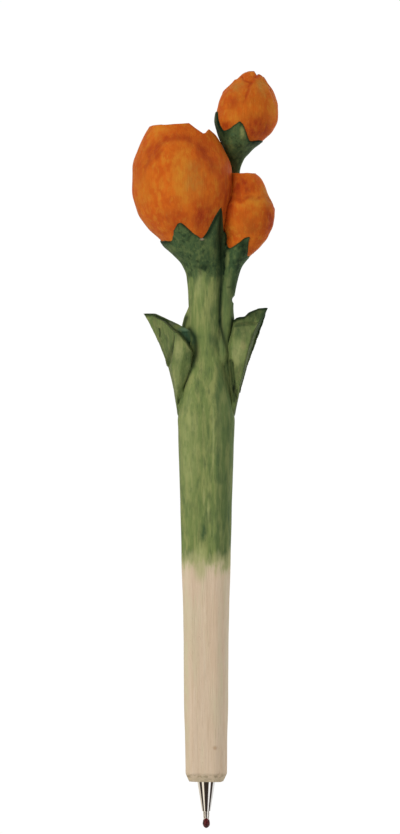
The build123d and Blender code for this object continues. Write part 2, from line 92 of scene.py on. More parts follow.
# Wood left between and beside the stems: height, centre x, centre y, width and depth
web_stations = (
    (98, 4, 0, 2, 3), (110, 4.1, -0.3, 2.6, 4.2), (122, 3.7, -0.5, 2.8, 4.4),
    (130, 3.2, -0.8, 3, 5), (137, 3.9, -1, 3, 5),
)
right_shoulder_stations = (
    (86, 2.5, 0.2, 8, 8), (95, 3.2, 0.2, 7.2, 7.2), (103, 3.7, 0.1, 5.6, 6.2), (109, 4, 0, 5, 5.8),
    (116, 4.3, -0.2, 4.2, 5),
)
left_shoulder_stations = (
    (100, -2, 0.6, 4.4, 5), (108, -2.9, 0.6, 5.2, 5), (113.2, -3.6, 0.6, 5.4, 4.6),
    (115.4, -3.6, 0.6, 4.6, 4.2), (118.5, -3.3, 0.6, 2.8, 3.4), (121, -3.2, 0.6, 1.6, 2.6),
)

# Shares of a flower from foot to top: height, foot shift, girth
large_bloom_shares = (
    (0, 1, 0.32), (0.105, 0.85, 0.566), (0.21, 0.42, 0.765), (0.33, 0.12, 0.908), (0.51, 0.04, 1),
    (0.66, 0, 0.988), (0.81, -0.08, 0.86), (0.92, -0.19, 0.717), (1, -0.3, 0.57),
)
side_bloom_shares = (
    (0, 1, 0.42), (0.12, 0.52, 0.665), (0.24, 0.13, 0.81), (0.405, 0.08, 0.97), (0.57, 0, 1),
    (0.786, 0.12, 0.765), (0.93, 0.3, 0.61), (1, 0.52, 0.463),
)
bud_shares = (
    (0, 1, 0.6), (0.16, 0.29, 0.89), (0.33, 0, 1), (0.52, -0.28, 0.97), (0.65, -0.4, 0.885),
    (0.745, -0.66, 0.76), (0.82, -0.8, 0.61), (0.91, -1.12, 0.445), (0.965, -1.28, 0.33),
    (1, -1.5, 0.2),
)

# Sepal edges as seen from the front, as shares of the flower's width and height from its foot
large_front_sepals = (
    (-0.124, 0.108), (-0.098, 0.186), (-0.045, 0.242), (-0.004, 0.246), (0.202, 0.133),
    (0.262, 0.178), (0.34, 0.292), (0.412, 0.37), (0.43, 0.36), (0.438, 0.298), (0.445, 0.145),
)
large_back_sepals = (
    (-0.255, 0.108), (-0.135, 0.3), (0.024, 0.12), (0.183, 0.286), (0.303, 0.136), (0.398, 0.24),
    (0.458, 0.145),
)
side_front_sepals = (
    (-0.47, 0.214), (-0.39, 0.1), (-0.191, 0.163), (-0.059, 0.217), (0.059, 0.238), (0.033, 0.163),
    (0.007, 0.012), (0, -0.02),
)
side_back_sepals = ((-0.4, 0.143), (-0.19, 0.31), (-0.05, 0.048), (0.07, 0.2), (0.19, -0.01))
bud_front_sepals = (
    (-0.481, 0.44), (-0.462, 0.33), (-0.43, 0.235), (-0.38, 0.165), (-0.287, 0.183),
    (-0.221, 0.232), (-0.118, 0.285), (-0.049, 0.244), (0, 0.136), (0.051, 0.01), (0.277, 0.027),
)
bud_back_sepals = (
    (-0.494, 0.41), (-0.294, 0.106), (-0.1, 0.328), (0.07, 0.078), (0.19, 0.2), (0.29, 0.022),
)
# The part of each flower that its calyx covers, how far the sepals' edges stand off it, how soft
# and how broadly bevelled they are, and how far inside the flower the calyx goes on
calyx_low_share = 0.1
calyx_high_share = 0.6
sepal_edge = 0.34
sepal_edge_soft = 0.12
sepal_bevel = 2.6
calyx_inset = 0.5
calyx_step = 0.22

# Petal outlines as seen from the front, in the same shares
large_petal = (
    (-0.5, 0.3), (-0.42, 0.5), (-0.34, 0.66), (-0.285, 0.753), (-0.245, 0.806), (-0.167, 0.851),
    (-0.068, 0.87), (0.03, 0.866), (0.13, 0.828), (0.208, 0.768), (0.268, 0.685), (0.31, 0.595),
    (0.37, 0.4), (0.4, 0.2), (0, -0.1),
)
side_petal = (
    (-0.7, 0), (-0.7, 0.55), (-0.42, 0.6), (-0.3, 0.66), (-0.22, 0.675), (-0.12, 0.635), (0, 0.69),
    (0.16, 0.66), (0.3, 0.7), (0.42, 0.64), (0.5, 0.5), (0.5, 0.2), (0.2, 0),
)
bud_petal = (
    (0.02, 0.2), (-0.05, 0.4), (0, 0.59), (0.028, 0.67), (0.062, 0.78), (0.115, 0.845),
    (0.175, 0.905), (0.24, 0.95), (0.33, 0.84), (0.42, 0.6), (0.46, 0.35), (0.4, 0.2),
)
# The large bloom's crown from left to right: it drops on the right and rises to a small tip
large_crown = (
    (-1, 0.94), (-0.29, 0.985), (0.071, 1), (0.212, 0.924), (0.236, 0.926), (0.268, 0.955),
    (0.36, 0.9), (0.6, 0.7),
)
# The bud's top: two petal tips with a notch between them
bud_crown = (
    (-0.3, 0.93), (-0.03, 0.985), (0.03, 1), (0.12, 1), (0.165, 0.938), (0.2, 0.968), (0.32, 0.9),
    (0.5, 0.7),
)
# Where a third petal's edge shows below the bud's tip, as seen from the front
bud_crease = ((8.8, 176.4), (9.25, 175.3), (10.2, 174.8), (11.4, 174.5))
petal_edge_reach = 3.0
# Folds in the middle of a crown: how many, how far they turn and where the first one starts
crown_folds = 3
crown_fold_twist = 0.8
crown_fold_start = 0.35

# A flower's x and y are its middle, base is the height of its foot, step is how far its petals'
# edges stand out and sepal is how thick its sepals are
Flower = namedtuple(
    "Flower",
    "width depth height x y foot_shift base step sepal shares front_sepals back_sepals petal",
)
large_flower = Flower(
    width=25.3,
    depth=22.4,
    height=33.2,
    x=-6.1,
    y=-1.5,
    foot_shift=2.6,
    base=131.0,
    step=0.45,
    sepal=0.85,
    shares=large_bloom_shares,
    front_sepals=large_front_sepals,
    back_sepals=large_back_sepals,
    petal=large_petal,
)
side_flower = Flower(
    width=13.6,
    depth=12.8,
    height=21.0,
    x=10.4,
    y=-0.4,
    foot_shift=-2.4,
    base=131.0,
    step=0.3,
    sepal=0.6,
    shares=side_bloom_shares,
    front_sepals=side_front_sepals,
    back_sepals=side_back_sepals,
    petal=side_petal,
)
bud_flower = Flower(
    width=15.7,
    depth=14.2,
    height=18.0,
    x=10.05,
    y=2.2,
    foot_shift=-1.05,
    base=159.6,
    step=0.7,
    sepal=0.28,
    shares=bud_shares,
    front_sepals=bud_front_sepals,
    back_sepals=bud_back_sepals,
    petal=bud_petal,
)

# A stem ends at its flower's foot and goes as far back as back says. Its shares are height, way
# across to the foot, way back and girth
Stem = namedtuple("Stem", "flower height width depth back sides shares")
main_stem = Stem(
    flower=large_flower,
    height=22.0,
    width=8.8,
    depth=8.8,
    back=large_flower.y,
    sides=160,
    shares=(
        (-0.75, 0, 0, 1), (0, 0, 0, 1.06), (0.5, 0.07, 0.07, 1), (0.77, 0.11, 0.11, 1.04),
        (0.91, 0.31, 0.31, 1.17), (1, 0.56, 0.56, 1.38),
    ),
)
side_stem = Stem(
    flower=side_flower,
    height=31.0,
    width=4.2,
    depth=6.0,
    back=side_flower.y,
    sides=112,
    shares=(
        (0, 0.3, 1, 0.8), (0.26, 0.54, 1, 1.17), (0.45, 0.59, 1, 1.14), (0.61, 0.61, 1, 0.96),
        (0.77, 0.69, 1, 1.02), (0.9, 0.8, 1, 1.12), (1, 0.956, 1, 1.6),
    ),
)
bud_stem = Stem(
    flower=bud_flower,
    height=41.5,
    width=3.3,
    depth=3.3,
    back=7.6,
    sides=120,
    shares=(
        (0, 0.32, 0.36, 1.1), (0.09, 0.43, 0.54, 1.15), (0.22, 0.55, 0.82, 1.15),
        (0.39, 0.66, 1, 1.1), (0.56, 0.73, 1.04, 1.05), (0.73, 0.77, 0.85, 1),
        (0.82, 0.755, 0.62, 1.02), (0.9, 0.81, 0.45, 1.36), (0.935, 0.848, 0.39, 1.9),
        (0.965, 0.9, 0.34, 2.35), (0.99, 0.95, 0.3, 2.95),
    ),
)
# The groove between the main stem and the side stem, as seen from the front, darkened with painted
# shade
stem_seam = (
    (3.6, 142), (3.3, 137), (3.6, 132.5), (3.7, 127), (3.6, 122), (3.4, 117.5), (3.6, 113.5),
    (4.4, 110.2), (5.3, 107.4),
)
# Painted shade on the stem against the leaves, as seen from the front, and how widely
leaf_shadows = (
    (((-5.6, 113.6), (-5, 115.8)), 0.6),
    (((-4.3, 112.9), (-2.9, 111), (-2.5, 108.5), (-2.6, 106.5), (-3.4, 103.6)), 0.7),
    (((-3.4, 103.6), (-4.8, 100.4), (-6.6, 96.6)), 0.35),
    (((6.5, 115.6), (6.3, 112.6), (5.7, 110)), 0.4), (((6.2, 104.4), (6.6, 102.4), (6.9, 98)), 0.5),
)
# Chips knocked out of the stem's edges: where, how far they reach and how deep they go
stem_chips = (
    ((6.9, -0.4, 120.3), (1.6, 4, 0.9), 0.5), ((-4.3, -3.4, 0.9), (0.9, 1.4, 0.6), 0.3),
    ((-1.6, -4.6, 1.9), (0.7, 1.2, 0.5), 0.22), ((0.7, -4.2, 0.4), (1.2, 1.2, 0.5), 0.3),
    ((2.9, -4.2, 1.7), (0.8, 1.4, 0.6), 0.28), ((4.5, -3, 0.7), (0.7, 1.4, 0.6), 0.3),
    ((-3, 4, 0.9), (1.2, 1.4, 0.6), 0.3), ((3.4, 4, 1.6), (0.9, 1.4, 0.7), 0.25),
)

# Leaf sizes, and sections from foot to tip: rise, then reach and depth as shares for the outer
# edge, the ridge, the inner front corner, the inner back corner and the back
leaf_foot = 91.5
leaf_front = 8.0
leaf_hollow_front = 2.5
left_leaf_shares = (
    (-0.08, ((0.4, -0.125), (0.36, -0.3), (0.31, -0.4), (0.25, -0.125), (0.34, 0.1))),
    (0, ((0.474, -0.125), (0.432, -0.375), (0.361, -0.49), (0.27, -0.125), (0.413, 0.15))),
    (0.25, ((0.535, -0.075), (0.49, -0.55), (0.381, -0.5), (0.2, -0.125), (0.4, 0.175))),
    (0.457, ((0.616, -0.075), (0.568, -0.7), (0.252, -0.65), (0.16, -0.125), (0.45, 0.19))),
    (0.676, ((0.752, -0.1), (0.529, -0.925), (0.235, -0.85), (0.15, -0.125), (0.6, 0.19))),
    (0.809, ((0.852, -0.15), (0.51, -1), (0.225, -0.875), (0.17, -0.19), (0.742, 0.125))),
    (0.903, ((0.926, -0.19), (0.658, -0.75), (0.465, -0.44), (0.445, -0.125), (0.852, 0.075))),
    (1.01, ((1.035, -0.19), (0.89, -0.275), (0.82, -0.24), (0.81, -0.125), (0.96, -0.1))),
)
right_leaf_shares = (
    (-0.08, ((0.4, -0.1), (0.37, -0.3), (0.32, -0.4), (0.25, -0.125), (0.34, 0.1))),
    (0, ((0.477, -0.1), (0.451, -0.363), (0.4, -0.45), (0.27, -0.125), (0.418, 0.15))),
    (0.224, ((0.559, -0.063), (0.53, -0.4), (0.465, -0.42), (0.3, -0.125), (0.42, 0.175))),
    (0.457, ((0.673, -0.063), (0.634, -0.55), (0.425, -0.575), (0.32, -0.125), (0.5, 0.19))),
    (0.634, ((0.784, -0.088), (0.706, -0.7), (0.4, -0.75), (0.3, -0.125), (0.62, 0.19))),
    (0.858, ((0.928, -0.15), (0.843, -0.625), (0.464, -0.7), (0.4, -0.125), (0.784, 0.125))),
    (0.912, ((0.962, -0.165), (0.88, -0.5), (0.53, -0.48), (0.49, -0.125), (0.82, 0.1))),
    (0.918, ((0.967, -0.17), (0.885, -0.47), (0.63, -0.42), (0.61, -0.125), (0.83, 0.09))),
    (0.96, ((0.985, -0.18), (0.935, -0.34), (0.7, -0.32), (0.685, -0.13), (0.9, 0.02))),
    (1, ((1.02, -0.19), (0.99, -0.24), (0.87, -0.24), (0.86, -0.14), (0.965, -0.11))),
)
# The hollow behind each leaf's front rim, as shares of its reach and rise
left_hollow_shares = (
    (0.88, 1.05), (0.795, 0.967), (0.666, 0.928), (0.585, 0.878), (0.521, 0.843), (0.456, 0.815),
    (0.408, 0.784), (0.327, 0.729), (0.263, 0.667), (0.21, 0.62), (0.1, 0.6), (0.1, 1.05),
)
right_hollow_shares = (
    (0.99, 1.05), (0.93, 0.95), (0.91, 0.9), (0.76, 0.868), (0.42, 0.85), (0.2, 0.85), (0.2, 1.05),
)
# Facets pared on the leaves, as seen from the front: outline, how many of its first points make
# the edge that it falls away from, how steeply, how strongly painted shade darkens it and how
# soft its edge
Facet = namedtuple("Facet", "outline edge_points slope wash soft")
left_leaf_facets = (
    Facet(
        ((-10.5, 105.3), (-9.3, 108), (-8.05, 111.4), (-8.4, 108), (-8.75, 104.6), (-9.6, 103.6)),
        edge_points=3, slope=0.7, wash=0.6, soft=0.12,
    ),
    Facet(
        (
            (-5.4, 109.85), (-5.1, 107.75), (-5.9, 105.75), (-6.7, 102), (-7.2, 96.8),
            (-7.1, 94), (-4.4, 99.75), (-2.6, 103.1), (-2, 106), (-3.2, 109.5),
        ),
        edge_points=5, slope=0.35, wash=0.15, soft=0.12,
    ),
)
right_leaf_facets = (
    Facet(
        (
            (14.3, 116.2), (13.2, 114.9), (12.1, 113), (11.1, 111.4), (10.6, 108.5), (9.7, 105.2),
            (8.9, 102.1), (8.2, 99.5), (8.6, 96), (13, 103), (17, 117),
        ),
        edge_points=8, slope=0.8, wash=0.52, soft=0.12,
    ),
    Facet(
        ((6, 109.8), (9.2, 111.2), (11.2, 111.6), (13.2, 114.9), (11.9, 115.1), (6, 114.5)),
        edge_points=3, slope=0.25, wash=0.2, soft=0.6,
    ),
    Facet(
        ((6.4, 104.4), (8, 103.2), (9.6, 104.6), (8.2, 99.5), (7.6, 95.5), (6.8, 98)),
        edge_points=3, slope=0.15, wash=0.4, soft=0.3,
    ),
)
# Stray cuts and creases on the leaves, darkened inside with painted shade, as seen from the
# front: line, width and depth
left_leaf_grooves = (
    (((-8.1, 111), (-8.5, 107.5), (-8.8, 104.6)), 0.32, 0.25),
    (((-11.85, 112.9), (-11.7, 111.9), (-11.8, 110.9)), 0.3, 0.25),
)
right_leaf_grooves = ((((6.2, 104.4), (6.65, 101.8), (7, 97.6)), 0.85, 0.5),)
# Lines of painted shade along the leaves' tops and beside the right leaf's foot, as seen from the
# front: line, width and strength
left_leaf_shade_lines = (
    (((-15.8, 116.6), (-13.4, 116.6), (-11.5, 115.7), (-9.6, 114.9)), 0.6, 1),
    (((-9.6, 115.2), (-8.2, 114.4), (-7, 113.9)), 0.4, 0.5),
    (((-7.8, 112.1), (-5.6, 112.1), (-3.9, 112.2)), 0.2, 0.6),
)
right_leaf_shade_lines = (
    (((7, 115), (8.2, 115.8), (9.3, 115.8), (10.6, 116.9), (12.8, 117.9), (15.3, 118.1)), 0.6, 1),
    (((5.9, 105), (6.2, 102.8), (6.5, 100.2), (6.8, 97.6), (7, 95)), 0.55, 0.85),
)

# The wax drop and the pocket in it for the point, from below: height and width
drop_stations = (
    (-11.77, 0.1), (-11.7, 0.5), (-11.45, 1.15), (-11.05, 1.68), (-10.7, 1.85), (-10.3, 1.8),
    (-9.8, 1.68), (-9.45, 1.64), (-9.3, 1.6), (-9.27, 1.56),
)
drop_pocket = ((-11.07, 0.1), (-11.05, 1.1), (-10.8, 1.26), (-9.35, 1.51), (-9.27, 1.53))

# Stain colours, as linear red, green and blue
orange = (0.66, 0.150, 0.012)
ochre = (0.66, 0.235, 0.022)
red_orange = (0.56, 0.095, 0.008)
brown_ochre = (0.50, 0.20, 0.030)
dull_orange = (0.50, 0.125, 0.011)
deep_red = (0.37, 0.045, 0.007)
thin_orange = (0.74, 0.36, 0.08)
olive = (0.30, 0.33, 0.115)
leaf_green = (0.19, 0.25, 0.078)
deep_green = (0.054, 0.101, 0.040)
black_green = (0.008, 0.021, 0.009)
blue_green = (0.050, 0.115, 0.062)
pale_teal = (0.16, 0.26, 0.15)
thin_green = (0.40, 0.43, 0.17)
worn_green = (0.40, 0.34, 0.15)
top_strip_grey = (0.19, 0.19, 0.15)
limewood = (0.74, 0.58, 0.42)
limewood_dark = (0.66, 0.49, 0.33)
limewood_pale = (0.80, 0.66, 0.51)
limewood_brown = (0.52, 0.37, 0.23)
limewood_green = (0.68, 0.60, 0.40)
limewood_grey = (0.66, 0.60, 0.45)
limewood_dirt = (0.30, 0.24, 0.13)
knot_brown = (0.45, 0.25, 0.13)
end_wood = (0.50, 0.42, 0.27)

# Heights on the barrel and the stems: where green starts and where it is full, thin and then
# deep, where the sepals' painted shade begins, where the painted shade on the right-hand flat
# ends, and where end grain and dirt show at the chamfer
thin_green_heights = (52.6, 57.2)
full_green_heights = (54.6, 59.6)
calyx_shade_heights = (125.5, 129.5)
flat_end_heights = (100, 106)
end_grain_heights = (0.3, 2.4)
dirt_start_heights = (1.3, 1.75)
dirt_end_heights = (1.8, 2.7)

# Streaks of wash in the order they are laid: width and length in mm, what is added to the stain's
# seed, the noise levels where they begin and are full, strength and wash
petal_blotches = (
    (2.8, 3.6, 0, 0.42, 0.6, 0.85, red_orange),
    (1.5, 2.2, 7, 0.48, 0.66, 0.6, ochre),
    (0.8, 1.3, 13, 0.5, 0.68, 0.4, red_orange),
)
petal_wear = ((0.4, 2.5, 11, 0.56, 0.74, 0.16, thin_orange),)
green_streaks = (
    (0.45, 5, 5, 0.55, 0.72, 0.38, thin_green),
    (0.8, 4, 9, 0.5, 0.7, 0.42, deep_green),
    (2.4, 4.5, 2, 0.48, 0.7, 0.4, deep_green),
)
green_specks = ((0.4, 0.7, 21, 0.66, 0.74, 0.6, deep_green),)
limewood_streaks = (
    (1.3, 22, 0, 0.4, 0.62, 0.55, limewood_dark),
    (1.8, 26, 3, 0.45, 0.65, 0.6, limewood_green),
    (0.35, 8, 1, 0.45, 0.7, 0.4, limewood_pale),
    (0.3, 5, 9, 0.6, 0.72, 0.5, limewood_brown),
    (1.4, 2.4, 7, 0.5, 0.7, 0.25, limewood_dark),
    (0.4, 0.7, 21, 0.66, 0.74, 0.6, limewood_brown),
)

# Patches of wash in the order they are laid: centre, reach, strength and wash. Some are painted
# highlights and painted shade, as said above each table
# Large bloom: painted highlight in ochre and brown ochre, painted shade in deep red
large_bloom_patches = (
    ((-6.2, -13, 151), (3.6, 9, 11), 0.9, ochre), ((-2.8, -12.5, 150), (4, 8, 7), 0.6, brown_ochre),
    ((-15.6, -8, 147.5), (2.6, 7, 6), 0.5, ochre), ((-16, -8, 152), (6, 10, 14), 0.35, dull_orange),
    ((-11.5, -9, 163), (5, 8, 3), 0.45, ochre), ((-3.5, -8, 160.5), (6, 9, 3), 0.4, red_orange),
    ((-12.6, -9, 156.8), (2.6, 8, 3.6), 0.6, deep_red),
    ((-1.2, -10, 157), (2.4, 8, 3.6), 0.6, deep_red),
    ((0.9, -9, 153.4), (1.6, 8, 3.4), 0.6, deep_red),
    ((5.8, -6, 147), (4.4, 14, 16), 0.7, deep_red),
    ((-0.4, -11, 140.5), (5, 9, 6.5), 0.8, deep_red), ((-8, -11, 139.5), (6, 9, 5), 0.5, deep_red),
)
# Side bloom: painted highlight in ochre and brown ochre, painted shade in deep red
side_bloom_patches = (
    ((12.2, -5.5, 144.6), (3.6, 6, 2.8), 0.9, ochre),
    ((15.6, -3.5, 146.5), (2.4, 6, 5.5), 0.85, brown_ochre),
    ((8.2, -6, 148.6), (5.4, 8, 4.2), 0.95, deep_red),
    ((5.6, -5, 144.5), (1.9, 8, 8), 0.9, deep_red),
    ((15.8, -4, 139.5), (2.9, 8, 5.4), 0.85, deep_red),
    ((11, -5.5, 138.5), (3, 8, 3), 0.5, deep_red),
    ((10.6, -5, 139.5), (5.5, 9, 5.5), 0.5, dull_orange),
)
# Top bud: the deep red is painted shade
top_bud_patches = (
    ((10, -6, 168), (11, 14, 12), 0.55, dull_orange),
    ((7.6, -3, 174), (3.6, 6, 3), 0.7, brown_ochre),
    ((14.2, -3, 174), (2.6, 6, 4.5), 0.8, brown_ochre), ((16.6, -1, 169), (2, 5, 5), 0.6, ochre),
    ((6.6, -4, 165.5), (2.2, 6, 3), 0.6, ochre), ((13.4, -4.5, 162.5), (6, 8, 5.5), 0.85, deep_red),
    ((6.4, -4, 170), (2.4, 6, 3), 0.5, deep_red), ((5.2, -3, 163.6), (2.6, 6, 1.9), 0.85, deep_red),
)
bare_patches = (
    ((2.2, -5, 8.6), (0.9, 1.5, 0.8), 0.5, knot_brown),
    ((3.3, -4.5, 30), (1, 4, 30), 0.4, limewood_green),
    ((-5, -3, 30), (1.3, 5, 40), 0.7, limewood_green),
    ((5.6, -3.5, 30), (1.3, 4, 40), 0.6, limewood_grey),
)
# Stem: the black green, the blue green and the deep green at x 3.2 are painted shade
green_patches = (
    ((-1.5, -6, 56.8), (2.3, 6, 3.6), 0.85, thin_green),
    ((-4.4, -6, 84), (3.2, 8, 20), 0.4, thin_green),
    ((-3, -6, 66.5), (2.6, 5, 7), 0.45, leaf_green),
    ((3.2, -6, 88), (0.9, 4, 15), 0.28, deep_green),
    ((1.75, -6, 86), (0.4, 4, 13), 0.5, thin_green),
    ((-2.2, -6, 89), (0.4, 4, 4.5), 0.5, thin_green),
    ((-0.6, -6, 71.2), (0.4, 4, 2.8), 0.55, thin_green),
    ((1.8, -4.5, 116), (2.4, 4, 7), 0.3, deep_green),
    ((-0.9, -6, 62.4), (1.7, 4, 3.4), 0.75, deep_green),
    ((0.5, -6, 67.5), (0.5, 4, 4), 0.7, thin_green),
    ((-1.6, -4.5, 124), (1.5, 4, 4.5), 0.45, thin_green),
    ((2.6, -5, 109.5), (2.6, 4, 3.2), 0.5, deep_green),
    ((5.1, -5, 130.6), (1, 4, 3.4), 0.75, olive),
    ((9.3, -5, 133.2), (1.9, 6, 2.8), 0.8, black_green),
    ((7.8, -2, 127), (1, 4, 7), 0.55, black_green),
    ((5.6, -4, 123.4), (0.8, 3, 0.5), 0.7, black_green),
    ((-0.9, -6, 128.4), (2.9, 5, 1.3), 0.5, black_green),
    ((-3.4, -4, 110.6), (1.4, 5, 3.4), 0.75, blue_green),
    ((8.2, -4, 130.6), (1, 5, 2.8), 0.6, black_green),
    ((6.8, -3, 123.2), (0.9, 5, 3), 0.45, black_green),
    ((-4.4, -5, 126.6), (1.6, 5, 1.2), 0.5, black_green),
    ((1.2, -6, 132.5), (0.7, 5, 3.2), 0.4, leaf_green),
    ((5, -5, 127.5), (0.9, 4, 5.5), 0.5, leaf_green),
    ((5.5, -3.5, 115), (1.5, 4, 6.5), 0.65, leaf_green),
    ((4, -5, 106), (2.6, 5, 6), 0.4, leaf_green), ((5.4, -5, 119), (1.2, 4, 6), 0.25, leaf_green),
    ((-8.6, -5, 132.8), (1.8, 6, 1.4), 0.4, leaf_green),
)
# Left leaf: the blue green by the stem is painted shade
left_leaf_patches = (
    ((-7, -7, 107.5), (1.7, 4, 5), 0.7, thin_green),
    ((-7.6, -4, 101), (1.4, 5, 7), 0.6, thin_green),
    ((-5.2, -2, 112), (3.6, 5, 3), 0.8, blue_green),
    ((-4.4, -3, 110), (2, 5, 2.4), 0.6, blue_green),
    ((-5.4, -2, 112.9), (2.2, 4, 0.7), 0.9, pale_teal),
    # A grey patch along the leaf's top strip
    ((-8.4, -1.5, 114.3), (1.8, 4, 0.8), 0.8, top_strip_grey),
)
# Right leaf: the deep green and the black green are painted shade
right_leaf_patches = (
    ((8.4, -3, 112.8), (5.5, 6, 3.6), 0.36, deep_green),
    ((8, -5, 107.2), (2.3, 4, 4.4), 0.6, thin_green),
    ((9.2, -5.6, 108.8), (1.4, 3, 1.8), 0.3, worn_green),
    ((7.9, -2, 115.7), (2.2, 5, 1.1), 0.9, black_green),
    ((10.8, -2, 116.8), (4.6, 5, 1.7), 0.5, black_green),
    ((13.2, -3, 112.4), (0.7, 4, 0.8), 0.9, black_green),
    ((11.5, -3, 107.6), (0.6, 4, 1.8), 0.85, black_green),
    ((9.9, -3, 102.6), (0.5, 4, 1.6), 0.7, black_green),
)
# Bud stem: the black green is painted shade
bud_stem_patches = (
    ((4.3, -4, 162.5), (2.4, 6, 4.5), 0.8, black_green),
    ((12.8, -4, 159.6), (3.6, 7, 2.6), 0.9, black_green),
    ((7.8, -5, 154.6), (4, 10, 6), 0.75, black_green),
    ((3.2, 0, 164), (2, 9, 5), 0.95, black_green), ((9.1, -5, 161.5), (1.3, 5, 2.6), 0.75, olive),
    ((6, -1.5, 158.4), (1.3, 5, 1), 0.8, leaf_green),
    ((6.6, -3, 161.4), (0.9, 5, 0.6), 0.6, blue_green),
)

# Forms

Form = namedtuple("Form", "points faces")


def smooth_through(table, at):
    """Rows of a table at new values of its first column, on curves that never overshoot."""
    table = np.array(table, dtype=float)
    known = table[:, 0]
    values = table[:, 1:]
    gaps = np.diff(known)[:, None]
    slopes = np.diff(values, axis=0) / gaps
    before = slopes[:-1]
    after = slopes[1:]
    same_way = before * after > 0
    total = np.where(same_way, before + after, 1.0)
    inner = np.where(same_way, 2 * before * after / total, 0.0)
    tangents = np.vstack([slopes[:1], inner, slopes[-1:]])
    at = np.clip(at, known[0], known[-1])
    k = np.clip(np.searchsorted(known, at, side="right") - 1, 0, len(known) - 2)
    gap = gaps[k]
    t = ((at - known[k])[:, None]) / gap
    start = values[k] * (2 * t**3 - 3 * t**2 + 1) + tangents[k] * gap * (t**3 - 2 * t**2 + t)
    end = values[k + 1] * (3 * t**2 - 2 * t**3) + tangents[k + 1] * gap * (t**3 - t**2)
    return start + end


def smooth_rows(table, heights):
    """A table of stations filled in at new heights, along smooth curves."""
    return np.column_stack([heights, smooth_through(table, heights)])


def even_heights(table, count):
    """Heights spread evenly over a table of stations."""
    return np.linspace(table[0][0], table[-1][0], count)


def ramp(value, low, high):
    """A smooth step from 0 at low to 1 at high."""
    t = np.clip((value - low) / (high - low), 0.0, 1.0)
    return t * t * (3 - 2 * t)


def bell(distance, width):
    """1 at no distance, falling away to 0 over a width."""
    return np.exp(-((distance / width) ** 2))


def distance_to_line(line, x, z):
    """Distance of points seen from the front to the nearest run of a line."""
    line = np.array(line, dtype=float)
    nearest = np.full(np.shape(x), np.inf)
    for (ax, az), (bx, bz) in zip(line[:-1], line[1:]):
        run = (bx - ax) ** 2 + (bz - az) ** 2
        t = np.clip(((x - ax) * (bx - ax) + (z - az) * (bz - az)) / run, 0, 1)
        nearest = np.minimum(nearest, np.hypot(x - ax - t * (bx - ax), z - az - t * (bz - az)))
    return nearest


def depth_inside(outline, x, z):
    """Distance to an outline's nearest edge, more than 0 inside it and less outside."""
    closed = [*outline, outline[0]]
    within = np.zeros(np.shape(x), dtype=bool)
    for (ax, az), (bx, bz) in zip(closed[:-1], closed[1:]):
        crosses = (az > z) != (bz > z)
        level = bz - az if bz != az else 1.0
        within ^= crosses & (x < ax + (z - az) / level * (bx - ax))
    distance = distance_to_line(closed, x, z)
    return np.where(within, distance, -distance)


def on_flower(flower, shares):
    """Shares of a flower's width and height as places seen from the front."""
    return [(flower.x + a * flower.width, flower.base + u * flower.height) for a, u in shares]


def front_or_back(flower, front, back, x, y, z):
    """Depth inside one outline at the flower's front and inside another at its back."""
    ahead = depth_inside(on_flower(flower, front), x, z)
    behind = depth_inside(on_flower(flower, back), x, z)
    return np.where(y < flower.y, ahead, behind)


def inside_petal(flower, x, y, z):
    """Depth inside the front petal, or inside the same petal turned over at the back."""
    turned = [(-across, up) for across, up in flower.petal]
    return front_or_back(flower, flower.petal, turned, x, y, z)


def inside_sepals(flower, x, y, z):
    """Depth inside the sepals, whose outline goes on far out to both sides and below."""
    front, back = (
        [(-1, -4), (-1, edge[0][1]), *edge, (1, edge[-1][1]), (1, -4)]
        for edge in (flower.front_sepals, flower.back_sepals)
    )
    return front_or_back(flower, front, back, x, y, z)


def sepal_rim(flower, points, width):
    """How near points on a calyx are to its sepals' edges, from 1 at the edge to 0."""
    x, y, z = points.T
    up = (z - flower.base) / flower.height
    _, centre_x, centre_y, across, deep = flower_rows(flower, np.clip(up, 0, 1)).T
    out = np.hypot((x - centre_x) / (across / 2), (y - centre_y) / (deep / 2))
    on_skin = ramp(np.abs(out - 1.05), 0.3, 0.15)
    return bell(inside_sepals(flower, x, y, z), width) * (up > 0.0) * on_skin


def turns(sides):
    """Angles round the pen from the front towards the right."""
    return np.linspace(0, 2 * math.pi, sides, endpoint=False)


def ovals(rows, sides, growth=0.0):
    """Points on level ovals, one row each for a height, centre x, centre y, width and depth."""
    z, x, y, width, depth = (column[:, None] for column in np.array(rows, dtype=float).T)
    turn = turns(sides)[None, :]
    across = x + (width / 2 + growth) * np.sin(turn)
    forward = y - (depth / 2 + growth) * np.cos(turn)
    return np.stack([across, forward, np.broadcast_to(z, across.shape)], axis=-1)


def rounds(profile):
    """Rows for ovals from heights and radii round the pen's axis."""
    return [(z, 0.0, 0.0, 2 * radius, 2 * radius) for z, radius in profile]


def flower_rows(flower, up):
    """Rows of height, centre x, centre y, width and depth of a flower at shares of its height."""
    shift, girth = smooth_through(flower.shares, up).T
    return np.column_stack(
        [
            flower.base + up * flower.height,
            flower.x + shift * flower.foot_shift,
            np.full_like(up, flower.y),
            flower.width * girth,
            flower.depth * girth,
        ]
    )


def skin_over(rows):
    """A closed form over rows of points, with a middle point at each end."""
    count, sides = rows.shape[:2]
    ends = [rows[0].mean(axis=0), rows[-1].mean(axis=0)]
    points = np.vstack([rows.reshape(-1, 3), ends])
    here = np.arange(count * sides).reshape(count, sides)
    beside = np.roll(here, -1, axis=1)
    walls = np.stack([here[:-1], beside[:-1], beside[1:], here[1:]], axis=-1).reshape(-1, 4)
    first = [(int(b), int(a), count * sides) for a, b in zip(here[0], beside[0])]
    last = [(int(a), int(b), count * sides + 1) for a, b in zip(here[-1], beside[-1])]
    return Form(points, [tuple(face) for face in walls.tolist()] + first + last)


